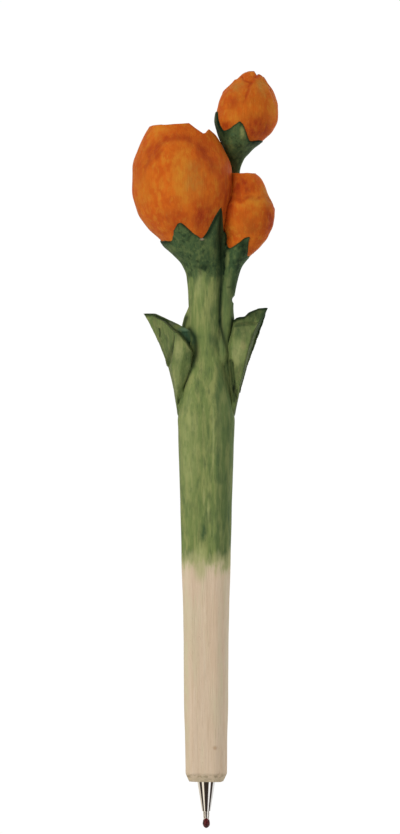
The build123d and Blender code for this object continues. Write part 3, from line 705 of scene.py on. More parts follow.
def joined(forms):
    """Several forms as one list of points and faces."""
    points = np.vstack([form.points for form in forms])
    starts = np.cumsum([0] + [len(form.points) for form in forms])
    faces = [
        tuple(corner + int(start) for corner in face)
        for form, start in zip(forms, starts)
        for face in form.faces
    ]
    return Form(points, faces)


# Meshes


def new_mesh(name, form):
    """A mesh in millimetres from a form."""
    mesh = bpy.data.meshes.new(name)
    mesh.from_pydata(form.points.tolist(), [], form.faces)
    return mesh


def put_in(name, data):
    """A new object for a mesh, a lamp or a camera, put in the scene."""
    holder = bpy.data.objects.new(name, data)
    bpy.context.scene.collection.objects.link(holder)
    return holder


def read(layer, name, width, kind=np.float32):
    """One row of numbers for each entry of a mesh's layer."""
    flat = np.empty(len(layer) * width, dtype=kind)
    layer.foreach_get(name, flat)
    return flat.reshape(-1, width)


def points_of(mesh):
    """Where a mesh's points are."""
    return read(mesh.vertices, "co", 3).astype(float)


def normals_of(mesh):
    """Which way a mesh faces at each point."""
    return read(mesh.vertex_normals, "vector", 3).astype(float)


def set_points(mesh, points):
    """Moves a mesh's points to new places."""
    mesh.vertices.foreach_set("co", points.astype(np.float32).ravel())
    mesh.update()


def move_out(mesh, amount):
    """Moves each point of a mesh outwards by its own amount, or inwards where that is below 0."""
    set_points(mesh, points_of(mesh) + normals_of(mesh) * amount[:, None])


def fused(name, forms, facet, squeeze=None):
    """One closed skin over forms that overlap. squeeze shortens plain runs while it is laid."""
    whole = joined(forms)
    if squeeze is not None:
        full, short = squeeze
        whole.points[:, 2] = np.interp(whole.points[:, 2], full, short)
    blank = new_mesh(name, whole)
    holder = put_in(name, blank)
    skin = holder.modifiers.new("skin", "REMESH")
    skin.mode = "VOXEL"
    skin.voxel_size = facet
    dressed = holder.evaluated_get(bpy.context.evaluated_depsgraph_get())
    mesh = bpy.data.meshes.new_from_object(dressed)
    bpy.data.objects.remove(holder)
    bpy.data.meshes.remove(blank)
    if squeeze is not None:
        points = points_of(mesh)
        points[:, 2] = np.interp(points[:, 2], short, full)
        set_points(mesh, points)
    return mesh


def eased(points, mesh, times):
    """Points of a mesh moved towards their neighbours again and again, as sandpaper does."""
    a, b = read(mesh.edges, "vertices", 2, np.int32).T
    both = np.concatenate([a, b])
    other = np.concatenate([b, a])
    count = len(points)
    links = np.maximum(np.bincount(both, minlength=count), 1)[:, None]
    for _ in range(times):
        sums = [np.bincount(both, weights=column[other], minlength=count) for column in points.T]
        points = points + 0.5 * (np.stack(sums, axis=-1) / links - points)
    return points


def wander(points, size, seed):
    """A slow irregular drift between about -1 and 1 that changes over a size."""
    count = 24
    luck = np.random.default_rng(seed)
    waves = luck.normal(size=(3, count)) * (2 * math.pi / size / 1.7)
    offsets = luck.uniform(0, 2 * math.pi, count)
    return np.cos(points @ waves + offsets).sum(axis=1) / math.sqrt(12) / 1.6


def knife_cuts(mesh, seed, gap, length, width, depth, where=1.0):
    """Shallow overlapping strokes of the knife along the grain, which meet in low ridges."""
    here = points_of(mesh)
    out = normals_of(mesh)
    luck = np.random.default_rng(seed)
    shuffled = luck.permutation(len(here))
    cells = np.floor(here[shuffled] / np.array([gap, gap, 1.6 * gap])).astype(int)
    _, first = np.unique(cells, axis=0, return_index=True)
    order = np.argsort(here[:, 2], kind="stable")
    heights = here[order, 2]
    sunk = np.zeros(len(here))
    for start in shuffled[first]:
        normal = out[start]
        lean = luck.normal(scale=0.16)
        bite = depth * luck.uniform(0.5, 1.0)
        along = np.array([lean, 0.3 * lean, 1.0])
        along -= normal * (along @ normal)
        reach = np.linalg.norm(along)
        if reach < 0.3:
            continue
        along /= reach
        across = np.cross(normal, along)
        low = np.searchsorted(heights, here[start, 2] - length)
        high = np.searchsorted(heights, here[start, 2] + length)
        near = order[low:high]
        away = here[near] - here[start]
        u = away @ along / length
        v = away @ across / width
        cut = bite * (1 - u * u - v * v)
        cut[out[near] @ normal < 0.5] = 0.0
        sunk[near] = np.maximum(sunk[near], cut)
    move_out(mesh, -sunk * where)


def score(mesh, line, width, depth):
    """Cuts a narrow groove along a line seen from the front, and gives how strong it is, which sets
    the painted shade in it.
    """
    x, _, z = points_of(mesh).T
    facing = np.clip(-normals_of(mesh)[:, 1] * 3, 0, 1)
    share = np.clip(1 - distance_to_line(line, x, z) / width, 0, 1) * facing
    move_out(mesh, -depth * share)
    return share


def pare(mesh, facet):
    """Slices a facet back, deeper the further from its edge, and gives how strong its painted shade
    is.
    """
    here = points_of(mesh)
    x, _, z = here.T
    facing = ramp(-normals_of(mesh)[:, 1], -0.1, 0.15)
    inside = depth_inside(facet.outline, x, z)
    away = distance_to_line(facet.outline[: facet.edge_points], x, z)
    here[:, 1] += facet.slope * away * ramp(inside, -facet.soft, facet.soft) * facing
    set_points(mesh, here)
    return facet.wash * ramp(inside, -3 * facet.soft, 4 * facet.soft) * facing


def nick(mesh, place, reach, depth):
    """A small chip out of an edge."""
    away = np.linalg.norm((points_of(mesh) - np.array(place)) / np.array(reach), axis=1)
    move_out(mesh, -depth * np.clip(1 - away**2, 0, 1))


def along_line(mesh, line, width):
    """How near points on the front are to a line, from 1 on it to 0."""
    x, _, z = points_of(mesh).T
    return bell(distance_to_line(line, x, z), width) * np.clip(-normals_of(mesh)[:, 1] * 3, 0, 1)


def keep(mesh, name, values):
    """Keeps one value for each point on the mesh, for its stain to read."""
    layer = mesh.attributes.new(name, "FLOAT", "POINT")
    layer.data.foreach_set("value", values.astype(np.float32))


def mark_relief(mesh, reach, slight, strong):
    """Keeps where a mesh is hollow, for stain and painted shade to darken it, and where it has an
    edge.
    """
    here = points_of(mesh)
    swing = ((eased(here, mesh, reach) - here) * normals_of(mesh)).sum(axis=1)
    keep(mesh, "hollow", ramp(swing, slight, strong))
    keep(mesh, "ridge", ramp(-swing, slight * 1.6, strong * 1.6))


def placed(mesh, name, body, node, material):
    """Puts a finished mesh down in metres as a piece of the pen, in the place of a node."""
    mesh.transform(Matrix.Scale(MM, 4))
    mesh.polygons.foreach_set("use_smooth", [True] * len(mesh.polygons))
    mesh.name = name
    mesh.materials.clear()
    mesh.materials.append(material)
    piece = put_in(name, mesh)
    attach(piece, body)
    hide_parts(node)


# Materials


class Recipe:
    """A node tree with short ways to add to it."""

    def __init__(self, tree):
        self.tree = tree

    def add(self, kind, feeds=None, **settings):
        """A new node, with its settings and with what feeds its inputs."""
        node = self.tree.nodes.new(kind)
        for name, value in settings.items():
            setattr(node, name, value)
        for name, value in (feeds or {}).items():
            self.feed(node.inputs[name], value)
        return node

    def feed(self, socket, value):
        """Links a socket, or sets it to a constant."""
        if isinstance(value, bpy.types.NodeSocket):
            self.tree.links.new(value, socket)
        elif socket.type == "RGBA" and len(value) == 3:
            socket.default_value = (*value, 1.0)
        else:
            socket.default_value = value

    def math(self, operation, first, second=0.0, clamp=False):
        """A calculation with two values."""
        feeds = {0: first, 1: second}
        return self.add("ShaderNodeMath", feeds, operation=operation, use_clamp=clamp).outputs[0]

    def times(self, first, *others):
        """The product of values."""
        for other in others:
            first = self.math("MULTIPLY", first, other)
        return first

    def vector(self, operation, first, second):
        """A calculation with two vectors."""
        feeds = {0: first, 1: second}
        node = self.add("ShaderNodeVectorMath", feeds, operation=operation)
        return node.outputs["Value" if operation == "LENGTH" else "Vector"]

    def span(self, value, low, high, to_low=0.0, to_high=1.0):
        """A smooth step between two values, as a value goes from low to high."""
        names = ("Value", "From Min", "From Max", "To Min", "To Max")
        feeds = dict(zip(names, (value, low, high, to_low, to_high)))
        node = self.add("ShaderNodeMapRange", feeds, interpolation_type="SMOOTHSTEP")
        return node.outputs["Result"]

    def mix(self, share, first, second):
        """The first colour, turning into the second as the share grows."""
        feeds = {"Factor": share, 6: first, 7: second}
        return self.add("ShaderNodeMix", feeds, data_type="RGBA").outputs[2]

    def choose(self, share, first, second):
        """The first value, turning into the second as the share grows."""
        feeds = {"Factor": share, 2: first, 3: second}
        return self.add("ShaderNodeMix", feeds, data_type="FLOAT").outputs[0]

    def place(self):
        """Where the surface is on the pen, in metres."""
        return self.add("ShaderNodeTexCoord").outputs["Object"]

    def place_mm(self):
        """Where the surface is on the pen, in millimetres."""
        feeds = {0: self.place(), "Scale": 1 / MM}
        return self.add("ShaderNodeVectorMath", feeds, operation="SCALE").outputs["Vector"]

    def parts(self, vector):
        """A vector's x, y and z."""
        return self.add("ShaderNodeSeparateXYZ", {0: vector}).outputs

    def kept(self, name):
        """What a mesh keeps at each point under a name."""
        return self.add("ShaderNodeAttribute", attribute_name=name).outputs["Fac"]

    def use(self, group, **values):
        """A shared effect with values for its inputs, where _ stands for a space in a name."""
        feeds = {name.replace("_", " "): value for name, value in values.items()}
        return self.add("ShaderNodeGroup", feeds, node_tree=group).outputs

    def streaks(self, across, along, seed, low, high):
        """Streaks of a width and a length in mm, between the noise levels low and high."""
        feeds = {"Across_mm": across, "Along_mm": along, "Seed": seed, "Low": low, "High": high}
        return self.use(streaks, **feeds)["Mask"]

    def spot(self, centre, reach, core=0.2):
        """A soft patch round a centre in mm, full up to its core."""
        return self.use(soft_spot, Centre_mm=centre, Reach_mm=reach, Core=core)["Mask"]

    def relief(self, shader, height, strength, depth):
        """Gives a shader fine relief, with its depth in mm."""
        feeds = {"Height": height, "Strength": strength, "Distance": depth * MM}
        self.feed(shader.inputs["Normal"], self.add("ShaderNodeBump", feeds).outputs["Normal"])


def new_group(name, inputs, outputs):
    """An empty shared effect with its sockets: its recipe, inputs and output sockets."""
    tree = bpy.data.node_groups.new(name, "ShaderNodeTree")
    kinds = {float: "NodeSocketFloat", tuple: "NodeSocketVector"}
    for label, value in inputs.items():
        kind = kinds[type(value)]
        socket = tree.interface.new_socket(label, in_out="INPUT", socket_type=kind)
        socket.default_value = value
    for label in outputs:
        tree.interface.new_socket(label, in_out="OUTPUT", socket_type="NodeSocketFloat")
    recipe = Recipe(tree)
    return recipe, recipe.add("NodeGroupInput").outputs, recipe.add("NodeGroupOutput").inputs


def make_streaks():
    """Uneven streaks or blotches, as long along the grain and as wide across it as asked."""
    recipe, given, out = new_group(
        "Streaks",
        {"Across mm": 1.0, "Along mm": 8.0, "Seed": 0.0, "Low": 0.4, "High": 0.6},
        ["Mask"],
    )
    across = recipe.times(given["Across mm"], MM)
    along = recipe.times(given["Along mm"], MM)
    size = recipe.add("ShaderNodeCombineXYZ", {0: across, 1: across, 2: along}).outputs[0]
    shift = recipe.add("ShaderNodeCombineXYZ", {axis: given["Seed"] for axis in range(3)})
    spot = recipe.vector("ADD", recipe.vector("DIVIDE", recipe.place(), size), shift.outputs[0])
    feeds = {"Vector": spot, "Scale": 1.0, "Detail": 4.0, "Roughness": 0.55}
    noise = recipe.add("ShaderNodeTexNoise", feeds)
    recipe.feed(out["Mask"], recipe.span(noise.outputs[0], given["Low"], given["High"]))
    return recipe.tree


def make_soft_spot():
    """A soft patch of colour round a place, wider or narrower along each axis."""
    recipe, given, out = new_group(
        "Soft spot",
        {"Centre mm": (0.0, 0.0, 0.0), "Reach mm": (5.0, 5.0, 5.0), "Core": 0.2},
        ["Mask"],
    )
    away = recipe.vector("SUBTRACT", recipe.place_mm(), given["Centre mm"])
    share = recipe.vector("DIVIDE", away, given["Reach mm"])
    length = recipe.vector("LENGTH", share, (0.0, 0.0, 0.0))
    recipe.feed(out["Mask"], recipe.span(length, given["Core"], 1.0, 1.0, 0.0))
    return recipe.tree


def make_handling():
    """Where hollows darken with stain and painted shade and where edges have worn, both broken up.
    """
    recipe, given, out = new_group(
        "Settled and worn", {"Settling": 1.0, "Wear": 1.0, "Seed": 0.0}, ["Settled", "Worn"]
    )
    broken = recipe.streaks(1.1, 2.4, given["Seed"], 0.35, 0.62)
    hollow_darkening = recipe.times(recipe.kept("hollow"), given["Settling"])
    rubbed = recipe.times(recipe.kept("ridge"), given["Wear"])
    darkened_hollows = recipe.math("MULTIPLY", hollow_darkening, recipe.math("ADD", broken, 0.65), clamp=True)
    recipe.feed(out["Settled"], darkened_hollows)
    recipe.feed(out["Worn"], recipe.math("MULTIPLY", rubbed, broken, clamp=True))
    return recipe.tree


def make_wood_height():
    """The low relief of wood fibres, pores and brush marks, as a height."""
    recipe, given, out = new_group(
        "Wood height", {"Fibre": 1.0, "Pores": 0.5, "Seed": 0.0}, ["Height"]
    )
    raised = recipe.times(recipe.streaks(0.28, 6.0, given["Seed"], 0.25, 0.75), given["Fibre"])
    sunk = recipe.times(recipe.streaks(0.16, 1.1, given["Seed"], 0.62, 0.72), given["Pores"])
    recipe.feed(out["Height"], recipe.math("SUBTRACT", raised, sunk))
    return recipe.tree


streaks = make_streaks()
soft_spot = make_soft_spot()
handling = make_handling()
wood_height = make_wood_height()


def new_material(name):
    """A material with its recipe and its shader."""
    material = bpy.data.materials.new(name)
    material.use_nodes = True
    shader = material.node_tree.nodes["Principled BSDF"]
    return material, Recipe(material.node_tree), shader


def coat(recipe, shader, colour, roughness):
    """Feeds a finish's colour and roughness to its shader."""
    recipe.feed(shader.inputs["Base Color"], colour)
    recipe.feed(shader.inputs["Roughness"], roughness)


def wood_surface(recipe, shader, colour, roughness, fibre, seed):
    """Feeds a wood's colour, roughness and fibre relief to its shader."""
    coat(recipe, shader, colour, roughness)
    shader.inputs["Specular IOR Level"].default_value = 0.08
    height = recipe.use(wood_height, Fibre=fibre, Pores=0.5, Seed=seed)["Height"]
    recipe.relief(shader, height, strength=0.55, depth=0.12)


def streaked(recipe, colour, seed, table):
    """A colour with a table's streaks laid over it in turn."""
    for across, along, shift, low, high, strength, wash in table:
        mask = recipe.streaks(across, along, seed + shift, low, high)
        colour = recipe.mix(recipe.times(mask, strength), colour, wash)
    return colour


def patches_on(recipe, colour, seed, patches):
    """A colour with a table's patches laid over it in turn, all with ragged edges."""
    uneven = recipe.span(recipe.streaks(1.4, 2.6, seed + 5, 0.3, 0.7), 0.0, 1.0, 0.5, 1.3)
    for centre, reach, strength, wash in patches:
        patch = recipe.times(recipe.spot(centre, reach), strength)
        colour = recipe.mix(recipe.math("MULTIPLY", patch, uneven, clamp=True), colour, wash)
    return colour


def petal_stain(name, seed, patches):
    """Orange wash brushed on thinly, with patches of other stains, painted highlights and painted
    shade at the places given.
    """
    material, recipe, shader = new_material(name)
    colour = streaked(recipe, orange, seed, petal_blotches)
    colour = patches_on(recipe, colour, seed, patches)
    brushed = recipe.streaks(0.5, 5.0, seed + 3, 0.42, 0.7)
    colour = recipe.mix(recipe.times(brushed, 0.2), colour, red_orange)
    colour = streaked(recipe, colour, seed, petal_wear)
    # Painted shade in deep red along the petals' edges and creases
    broken = recipe.math("ADD", recipe.streaks(2.4, 2.4, seed + 17, 0.35, 0.6), 0.5)
    petal_shade_band = recipe.times(recipe.kept("petal_edge_shade"), broken)
    colour = recipe.mix(recipe.math("MULTIPLY", petal_shade_band, 0.5, clamp=True), colour, deep_red)
    marks = recipe.use(handling, Settling=0.8, Wear=0.7, Seed=seed)
    colour = recipe.mix(marks["Settled"], colour, deep_red)
    colour = recipe.mix(recipe.times(marks["Worn"], 0.5), colour, thin_orange)
    roughness = recipe.span(brushed, 0.0, 1.0, 0.55, 0.7)
    wood_surface(recipe, shader, colour, roughness, fibre=0.8, seed=seed)
    return material


def green_wash(recipe, seed, depth, side):
    """Green stain with pale and dark streaks. depth darkens it, side is its share of shadow."""
    pale = recipe.streaks(1.3, 9.0, seed, 0.42, 0.62)
    colour = recipe.mix(recipe.times(pale, 0.85), leaf_green, olive)
    colour = streaked(recipe, colour, seed, green_streaks)
    brushed = recipe.span(pale, 0.0, 1.0, 0.8, 0.62)
    colour = recipe.mix(recipe.times(side, brushed), colour, deep_green)
    colour = streaked(recipe, colour, seed, green_specks)
    colour = recipe.mix(depth, colour, deep_green)
    thin = recipe.times(recipe.streaks(0.8, 1.3, seed + 31, 0.5, 0.66), depth, 0.4)
    colour = recipe.mix(thin, colour, leaf_green)
    thick = recipe.times(recipe.streaks(0.9, 1.6, seed + 37, 0.5, 0.66), depth, 0.6)
    return recipe.mix(thick, colour, black_green)


def bare_stem(recipe, seed, level):
    """Bare limewood, with darker end grain and dirt caught above the chamfer."""
    bare = streaked(recipe, limewood, seed, limewood_streaks)
    bare = recipe.mix(recipe.span(level, *end_grain_heights, 0.55, 0.0), bare, end_wood)
    handled = recipe.streaks(0.9, 0.9, seed + 23, 0.4, 0.6)
    worn_level = recipe.math("ADD", level, recipe.times(handled, 0.5))
    dirt = recipe.times(
        recipe.span(worn_level, *dirt_start_heights),
        recipe.span(worn_level, *dirt_end_heights, 1.0, 0.0),
        recipe.span(handled, 0.0, 1.0, 0.15, 0.6),
    )
    bare = recipe.mix(dirt, bare, limewood_dirt)
    return patches_on(recipe, bare, seed, bare_patches)


def green_stem(recipe, seed, across, forward, level):
    """Green stain with painted shade up under the sepals, towards the right and on the right-hand
    flat.
    """
    patchy = recipe.streaks(1.6, 3.0, seed + 6, 0.35, 0.65)
    reached = recipe.math("ADD", level, recipe.times(patchy, 3.0))
    calyx_shade = recipe.span(reached, *calyx_shade_heights, 0.0, 0.93)
    lifted = recipe.span(patchy, 0.3, 1.0, 1.0, 0.8)
    rounded_side_shade = recipe.span(across, 1.6, 6.1)
    flat_side_shade = recipe.span(across, 2.0, 2.8, 0.0, 0.6)
    on_front = recipe.span(forward, -2.0, 1.0, 1.0, 0.0)
    on_flat = recipe.times(on_front, recipe.span(level, *flat_end_heights, 1.0, 0.0))
    side = recipe.span(on_flat, 0.0, 1.0, rounded_side_shade, flat_side_shade)
    green = green_wash(recipe, seed, recipe.times(calyx_shade, lifted), side)
    return patches_on(recipe, green, seed, green_patches)


def stem_stain():
    """Limewood, bare below and stained green above in streaks that feather out."""
    material, recipe, shader = new_material("stained_limewood")
    seed = 4.0
    across, forward, level = recipe.parts(recipe.place_mm())
    ragged = recipe.times(recipe.streaks(3.4, 8.0, seed + 4, 0.3, 0.7), 1.8)
    feather = recipe.times(recipe.streaks(0.9, 4.0, seed + 8, 0.3, 0.75), 2.2)
    edge = recipe.math("ADD", recipe.math("ADD", level, ragged), feather)
    tongue = recipe.times(recipe.spot(centre=(-1.5, -6.0, 53.6), reach=(2.4, 7.0, 5.0)), 0.85)
    thin = recipe.math("MAXIMUM", recipe.span(edge, *thin_green_heights), tongue)
    right_edge = recipe.spot(centre=(7.2, -3.0, 55.0), reach=(3.2, 8.0, 6.0))
    worn_off = recipe.span(right_edge, 0.0, 0.8, 1.0, 0.2)
    full = recipe.times(recipe.span(edge, *full_green_heights), worn_off)
    colour = recipe.mix(recipe.times(thin, 0.75), bare_stem(recipe, seed, level), thin_green)
    colour = recipe.mix(full, colour, green_stem(recipe, seed, across, forward, level))
    # Painted shade and dark sepal edges, kept on the mesh, laid in black green
    colour = recipe.mix(recipe.times(recipe.kept("dark_edges_and_shade"), 0.94), colour, black_green)
    fleck = recipe.spot(centre=(-1.1, -9.0, 135.2), reach=(0.9, 4.0, 0.5), core=0.1)
    colour = recipe.mix(recipe.times(fleck, 0.6), colour, limewood_dark)
    marks = recipe.use(handling, Settling=0.95, Wear=0.55, Seed=seed)
    colour = recipe.mix(recipe.times(marks["Settled"], full), colour, black_green)
    colour = recipe.mix(recipe.times(marks["Worn"], full, 0.45), colour, thin_green)
    roughness = recipe.span(full, 0.0, 1.0, 0.72, 0.6)
    wood_surface(recipe, shader, colour, roughness, fibre=1.0, seed=seed)
    return material


def leaf_stain(name, seed, depth, right_edge, patches):
    """The darker green of the leaves and of the bud's stem, with shadow from its right edge on."""
    material, recipe, shader = new_material(name)
    across = recipe.parts(recipe.place_mm())[0]
    side = recipe.span(across, right_edge, right_edge + 4.5)
    colour = green_wash(recipe, seed, depth, side)
    colour = patches_on(recipe, colour, seed, patches)
    # Painted shade, with dark sepal edges on the bud's stem, kept on the mesh, laid in black green
    rim = recipe.times(recipe.kept("dark_edges_and_shade"), 0.88)
    colour = recipe.mix(rim, colour, black_green)
    marks = recipe.use(handling, Settling=0.32, Wear=0.8, Seed=seed)
    colour = recipe.mix(marks["Settled"], colour, black_green)
    worn = recipe.times(marks["Worn"], recipe.span(rim, 0.0, 0.7, 0.5, 0.0))
    colour = recipe.mix(worn, colour, thin_green)
    roughness = recipe.span(marks["Worn"], 0.0, 1.0, 0.58, 0.7)
    wood_surface(recipe, shader, colour, roughness, fibre=0.8, seed=seed)
    return material


def dowel_wood():
    """Plain birch dowel for the hidden pegs."""
    material, recipe, shader = new_material("birch_dowel")
    seed = 31.0
    tone = recipe.streaks(0.4, 6.0, seed, 0.35, 0.7)
    colour = recipe.mix(tone, limewood_pale, limewood_dark)
    wood_surface(recipe, shader, colour, roughness=0.7, fibre=0.8, seed=seed)
    return material


def metal(name, colour, shade, rough, seed):
    """Turned metal with fine rings round it and faint smears."""
    material, recipe, shader = new_material(name)
    smears = recipe.streaks(1.2, 1.8, seed, 0.35, 0.7)
    roughness = recipe.span(smears, 0.0, 1.0, *rough)
    coat(recipe, shader, recipe.mix(smears, colour, shade), roughness)
    shader.inputs["Metallic"].default_value = 1.0
    rings = recipe.streaks(60.0, 0.12, seed, 0.3, 0.7)
    recipe.relief(shader, rings, strength=0.08, depth=0.01)
    return material


def soft_stuff(name, colour, shade, roughness, size, seed):
    """Plastic, ink, grease or wax: mottled colour over faintly uneven skin."""
    material, recipe, shader = new_material(name)
    mottle = recipe.streaks(size, size * 1.6, seed, 0.35, 0.65)
    uneven = recipe.span(mottle, 0.0, 1.0, roughness, roughness * 1.6)
    coat(recipe, shader, recipe.mix(mottle, colour, shade), uneven)
    recipe.relief(shader, mottle, strength=0.3, depth=0.02)
    return material, shader


# Flowers

# A bloom's edge is the width of its petals' lines, which stand out a little and are darkened with
# painted shade, and fade the shares of its height between which they begin. dish and swirl are
# how deep its crown sinks and how deep its folds are
Bloom = namedtuple(
    "Bloom",
    "node flower edge fade sides rows crown_rows dish swirl crown creases seed cuts stain_seed "
    "patches",
)
blooms = (
    # The large tulip, its crown cut across and notched on the right
    Bloom(
        node="large_bloom",
        flower=large_flower,
        edge=1.5,
        fade=(0.5, 0.72),
        sides=208,
        rows=136,
        crown_rows=22,
        dish=1.2,
        swirl=1.4,
        crown=large_crown,
        creases=(),
        seed=11,
        cuts={"gap": 1.9, "length": 5.5, "width": 1.9, "depth": 0.13},
        stain_seed=2.0,
        patches=large_bloom_patches,
    ),
    # The smaller tulip, tucked against the large one
    Bloom(
        node="side_bloom",
        flower=side_flower,
        edge=0.6,
        fade=(0.3, 0.55),
        sides=136,
        rows=96,
        crown_rows=14,
        dish=0.8,
        swirl=0.9,
        crown=(),
        creases=(),
        seed=23,
        cuts={"gap": 1.7, "length": 4.5, "width": 1.7, "depth": 0.14},
        stain_seed=14.0,
        patches=side_bloom_patches,
    ),
    # The bud at the top, with two petals that fold over each other
    Bloom(
        node="top_bud",
        flower=bud_flower,
        edge=0.45,
        fade=(0.42, 0.75),
        sides=144,
        rows=100,
        crown_rows=8,
        dish=0.3,
        swirl=0.2,
        crown=bud_crown,
        creases=(bud_crease,),
        seed=37,
        cuts={"gap": 1.7, "length": 4.2, "width": 1.7, "depth": 0.13},
        stain_seed=21.0,
        patches=top_bud_patches,
    ),
)


def crown_rows(bloom, rim):
    """Rows of points from a flower's rim to its middle, dished and folded by its petals."""
    turn = turns(bloom.sides)
    centre = rim.mean(axis=0)
    rows = []
    for share in np.linspace(1, 0, bloom.crown_rows + 2)[1:-1]:
        twist = crown_fold_twist * share + crown_fold_start
        fold = ((turn / (2 * math.pi) * crown_folds + twist) % 1.0) ** 1.5
        row = centre + (rim - centre) * share
        row[:, 2] -= bloom.dish * (1 - share) ** 0.7
        row[:, 2] -= bloom.swirl * fold * ramp(share, 0.0, 0.3) * (1 - share)
        rows.append(row)
    return np.array(rows)


def carve_bloom(bloom):
    """A closed flower with petal edges that fade out below, cut with the knife."""
    flower = bloom.flower
    up = np.linspace(0, 1, bloom.rows)
    stations = flower_rows(flower, up)
    plain = ovals(stations, bloom.sides)
    inside = inside_petal(flower, *np.moveaxis(plain, -1, 0))
    strength = ramp(up, *bloom.fade)[:, None]
    # Painted shade along the petals' edges, kept for the stain
    line = bell(inside + 0.6 * bloom.edge, bloom.edge) * strength
    swell = np.exp(-np.abs(inside) / petal_edge_reach) * strength
    growth = flower.step * swell * (ramp(inside, -bloom.edge, 0.6 * bloom.edge) - 0.55)
    rows = np.vstack([ovals(stations, bloom.sides, growth), crown_rows(bloom, plain[-1])])
    if bloom.crown:
        across, rise = np.array(on_flower(flower, bloom.crown)).T
        rows[..., 2] = np.minimum(rows[..., 2], np.interp(rows[..., 0], across, rise))
    mesh = new_mesh(bloom.node, skin_over(rows))
    move_out(mesh, 0.09 * wander(points_of(mesh), size=7.0, seed=bloom.seed))
    knife_cuts(mesh, bloom.seed, **bloom.cuts)
    crown_points = len(mesh.vertices) - line.size
    shades = [np.concatenate([line.ravel(), np.zeros(crown_points)])]
    shades += [score(mesh, crease, width=0.4, depth=0.2) for crease in bloom.creases]
    keep(mesh, "petal_edge_shade", np.max(shades, axis=0))
    mark_relief(mesh, reach=10, slight=0.03, strong=0.16)
    stain = petal_stain(bloom.node + "_wash", bloom.stain_seed, bloom.patches)
    placed(mesh, bloom.node + "_carving", "barrel", bloom.node, stain)


# Stems and calyces


def stem_form(stem):
    """A stem that flares into sepals with pointed edges."""
    flower = stem.flower
    up, way, back, girth = np.array(stem.shares, dtype=float).T
    stations = [
        flower.base - stem.height + up * stem.height,
        way * (flower.x + flower.foot_shift),
        back * stem.back,
        girth * stem.width,
        girth * stem.depth,
    ]
    cup = [s[0] for s in flower.shares if calyx_low_share < s[0] < calyx_high_share]
    cup_rows = flower_rows(flower, np.array(cup))
    cup_rows[:, 3:] += 2 * flower.sepal
    table = np.vstack([np.column_stack(stations), cup_rows])
    heights = np.arange(table[0, 0], table[-1, 0], calyx_step)
    full = ovals(smooth_rows(table, heights), stem.sides)
    inner_up = np.clip((heights - flower.base) / flower.height, 0, 1)
    inner = ovals(flower_rows(flower, inner_up), stem.sides, -calyx_inset)
    inside = inside_sepals(flower, *np.moveaxis(full, -1, 0))
    edge = (calyx_inset + min(sepal_edge, flower.sepal)) / (calyx_inset + flower.sepal)
    bevelled = edge + (1 - edge) * ramp(inside, 0.0, sepal_bevel)
    shown = ramp(inside, -sepal_edge_soft, sepal_edge_soft) * bevelled
    above = (heights > flower.base)[:, None, None]
    points = np.where(above, inner + (full - inner) * shown[..., None], full)
    points[..., 2] = full[..., 2]
    return skin_over(points)


def barrel_form():
    """The barrel from the roof of its bore, down and out over its end and up to its top."""
    turn = turns(barrel_sides)
    swells = [
        (up * barrel_top, barrel_end_width + grown * (barrel_swell_width - barrel_end_width))
        for up, grown in barrel_taper_shares
    ]
    stations = [
        (0.0, barrel_end_width - 2 * barrel_chamfer_width),
        (barrel_chamfer_height, barrel_end_width),
        *swells,
        (barrel_top, barrel_top_width),
    ]
    fine_step = 0.25
    step = 0.8
    chamfer = np.arange(0, barrel_chamfer_height, fine_step)
    shaft = np.arange(barrel_chamfer_height, barrel_top + 0.1, step)
    heights = np.concatenate([chamfer, shaft])
    half = np.interp(heights, *np.array(stations).T)[:, None] / 2
    flats = []
    for facing, out in barrel_cuts:
        slant = np.cos(turn - math.radians(facing))
        flats.append(np.where(slant > 0.2, out / np.maximum(slant, 0.2), 10.0))
    squared = (np.array(flats) ** -flat_sharpness).sum(axis=0) ** (-1 / flat_sharpness)
    sides = np.abs(np.sin(turn)) ** round_sharpness + np.abs(np.cos(turn)) ** round_sharpness
    rounded = sides ** (-1 / round_sharpness)
    share = ramp(heights, *flats_fade_heights)[:, None]
    reach = half * (squared[None, :] * (1 - share) + rounded[None, :] * share)
    level = np.broadcast_to(heights[:, None], reach.shape)
    outer = np.stack([reach * np.sin(turn), -reach * np.cos(turn), level], axis=-1)
    return skin_over(np.vstack([ovals(rounds(bore_profile), barrel_sides), outer]))


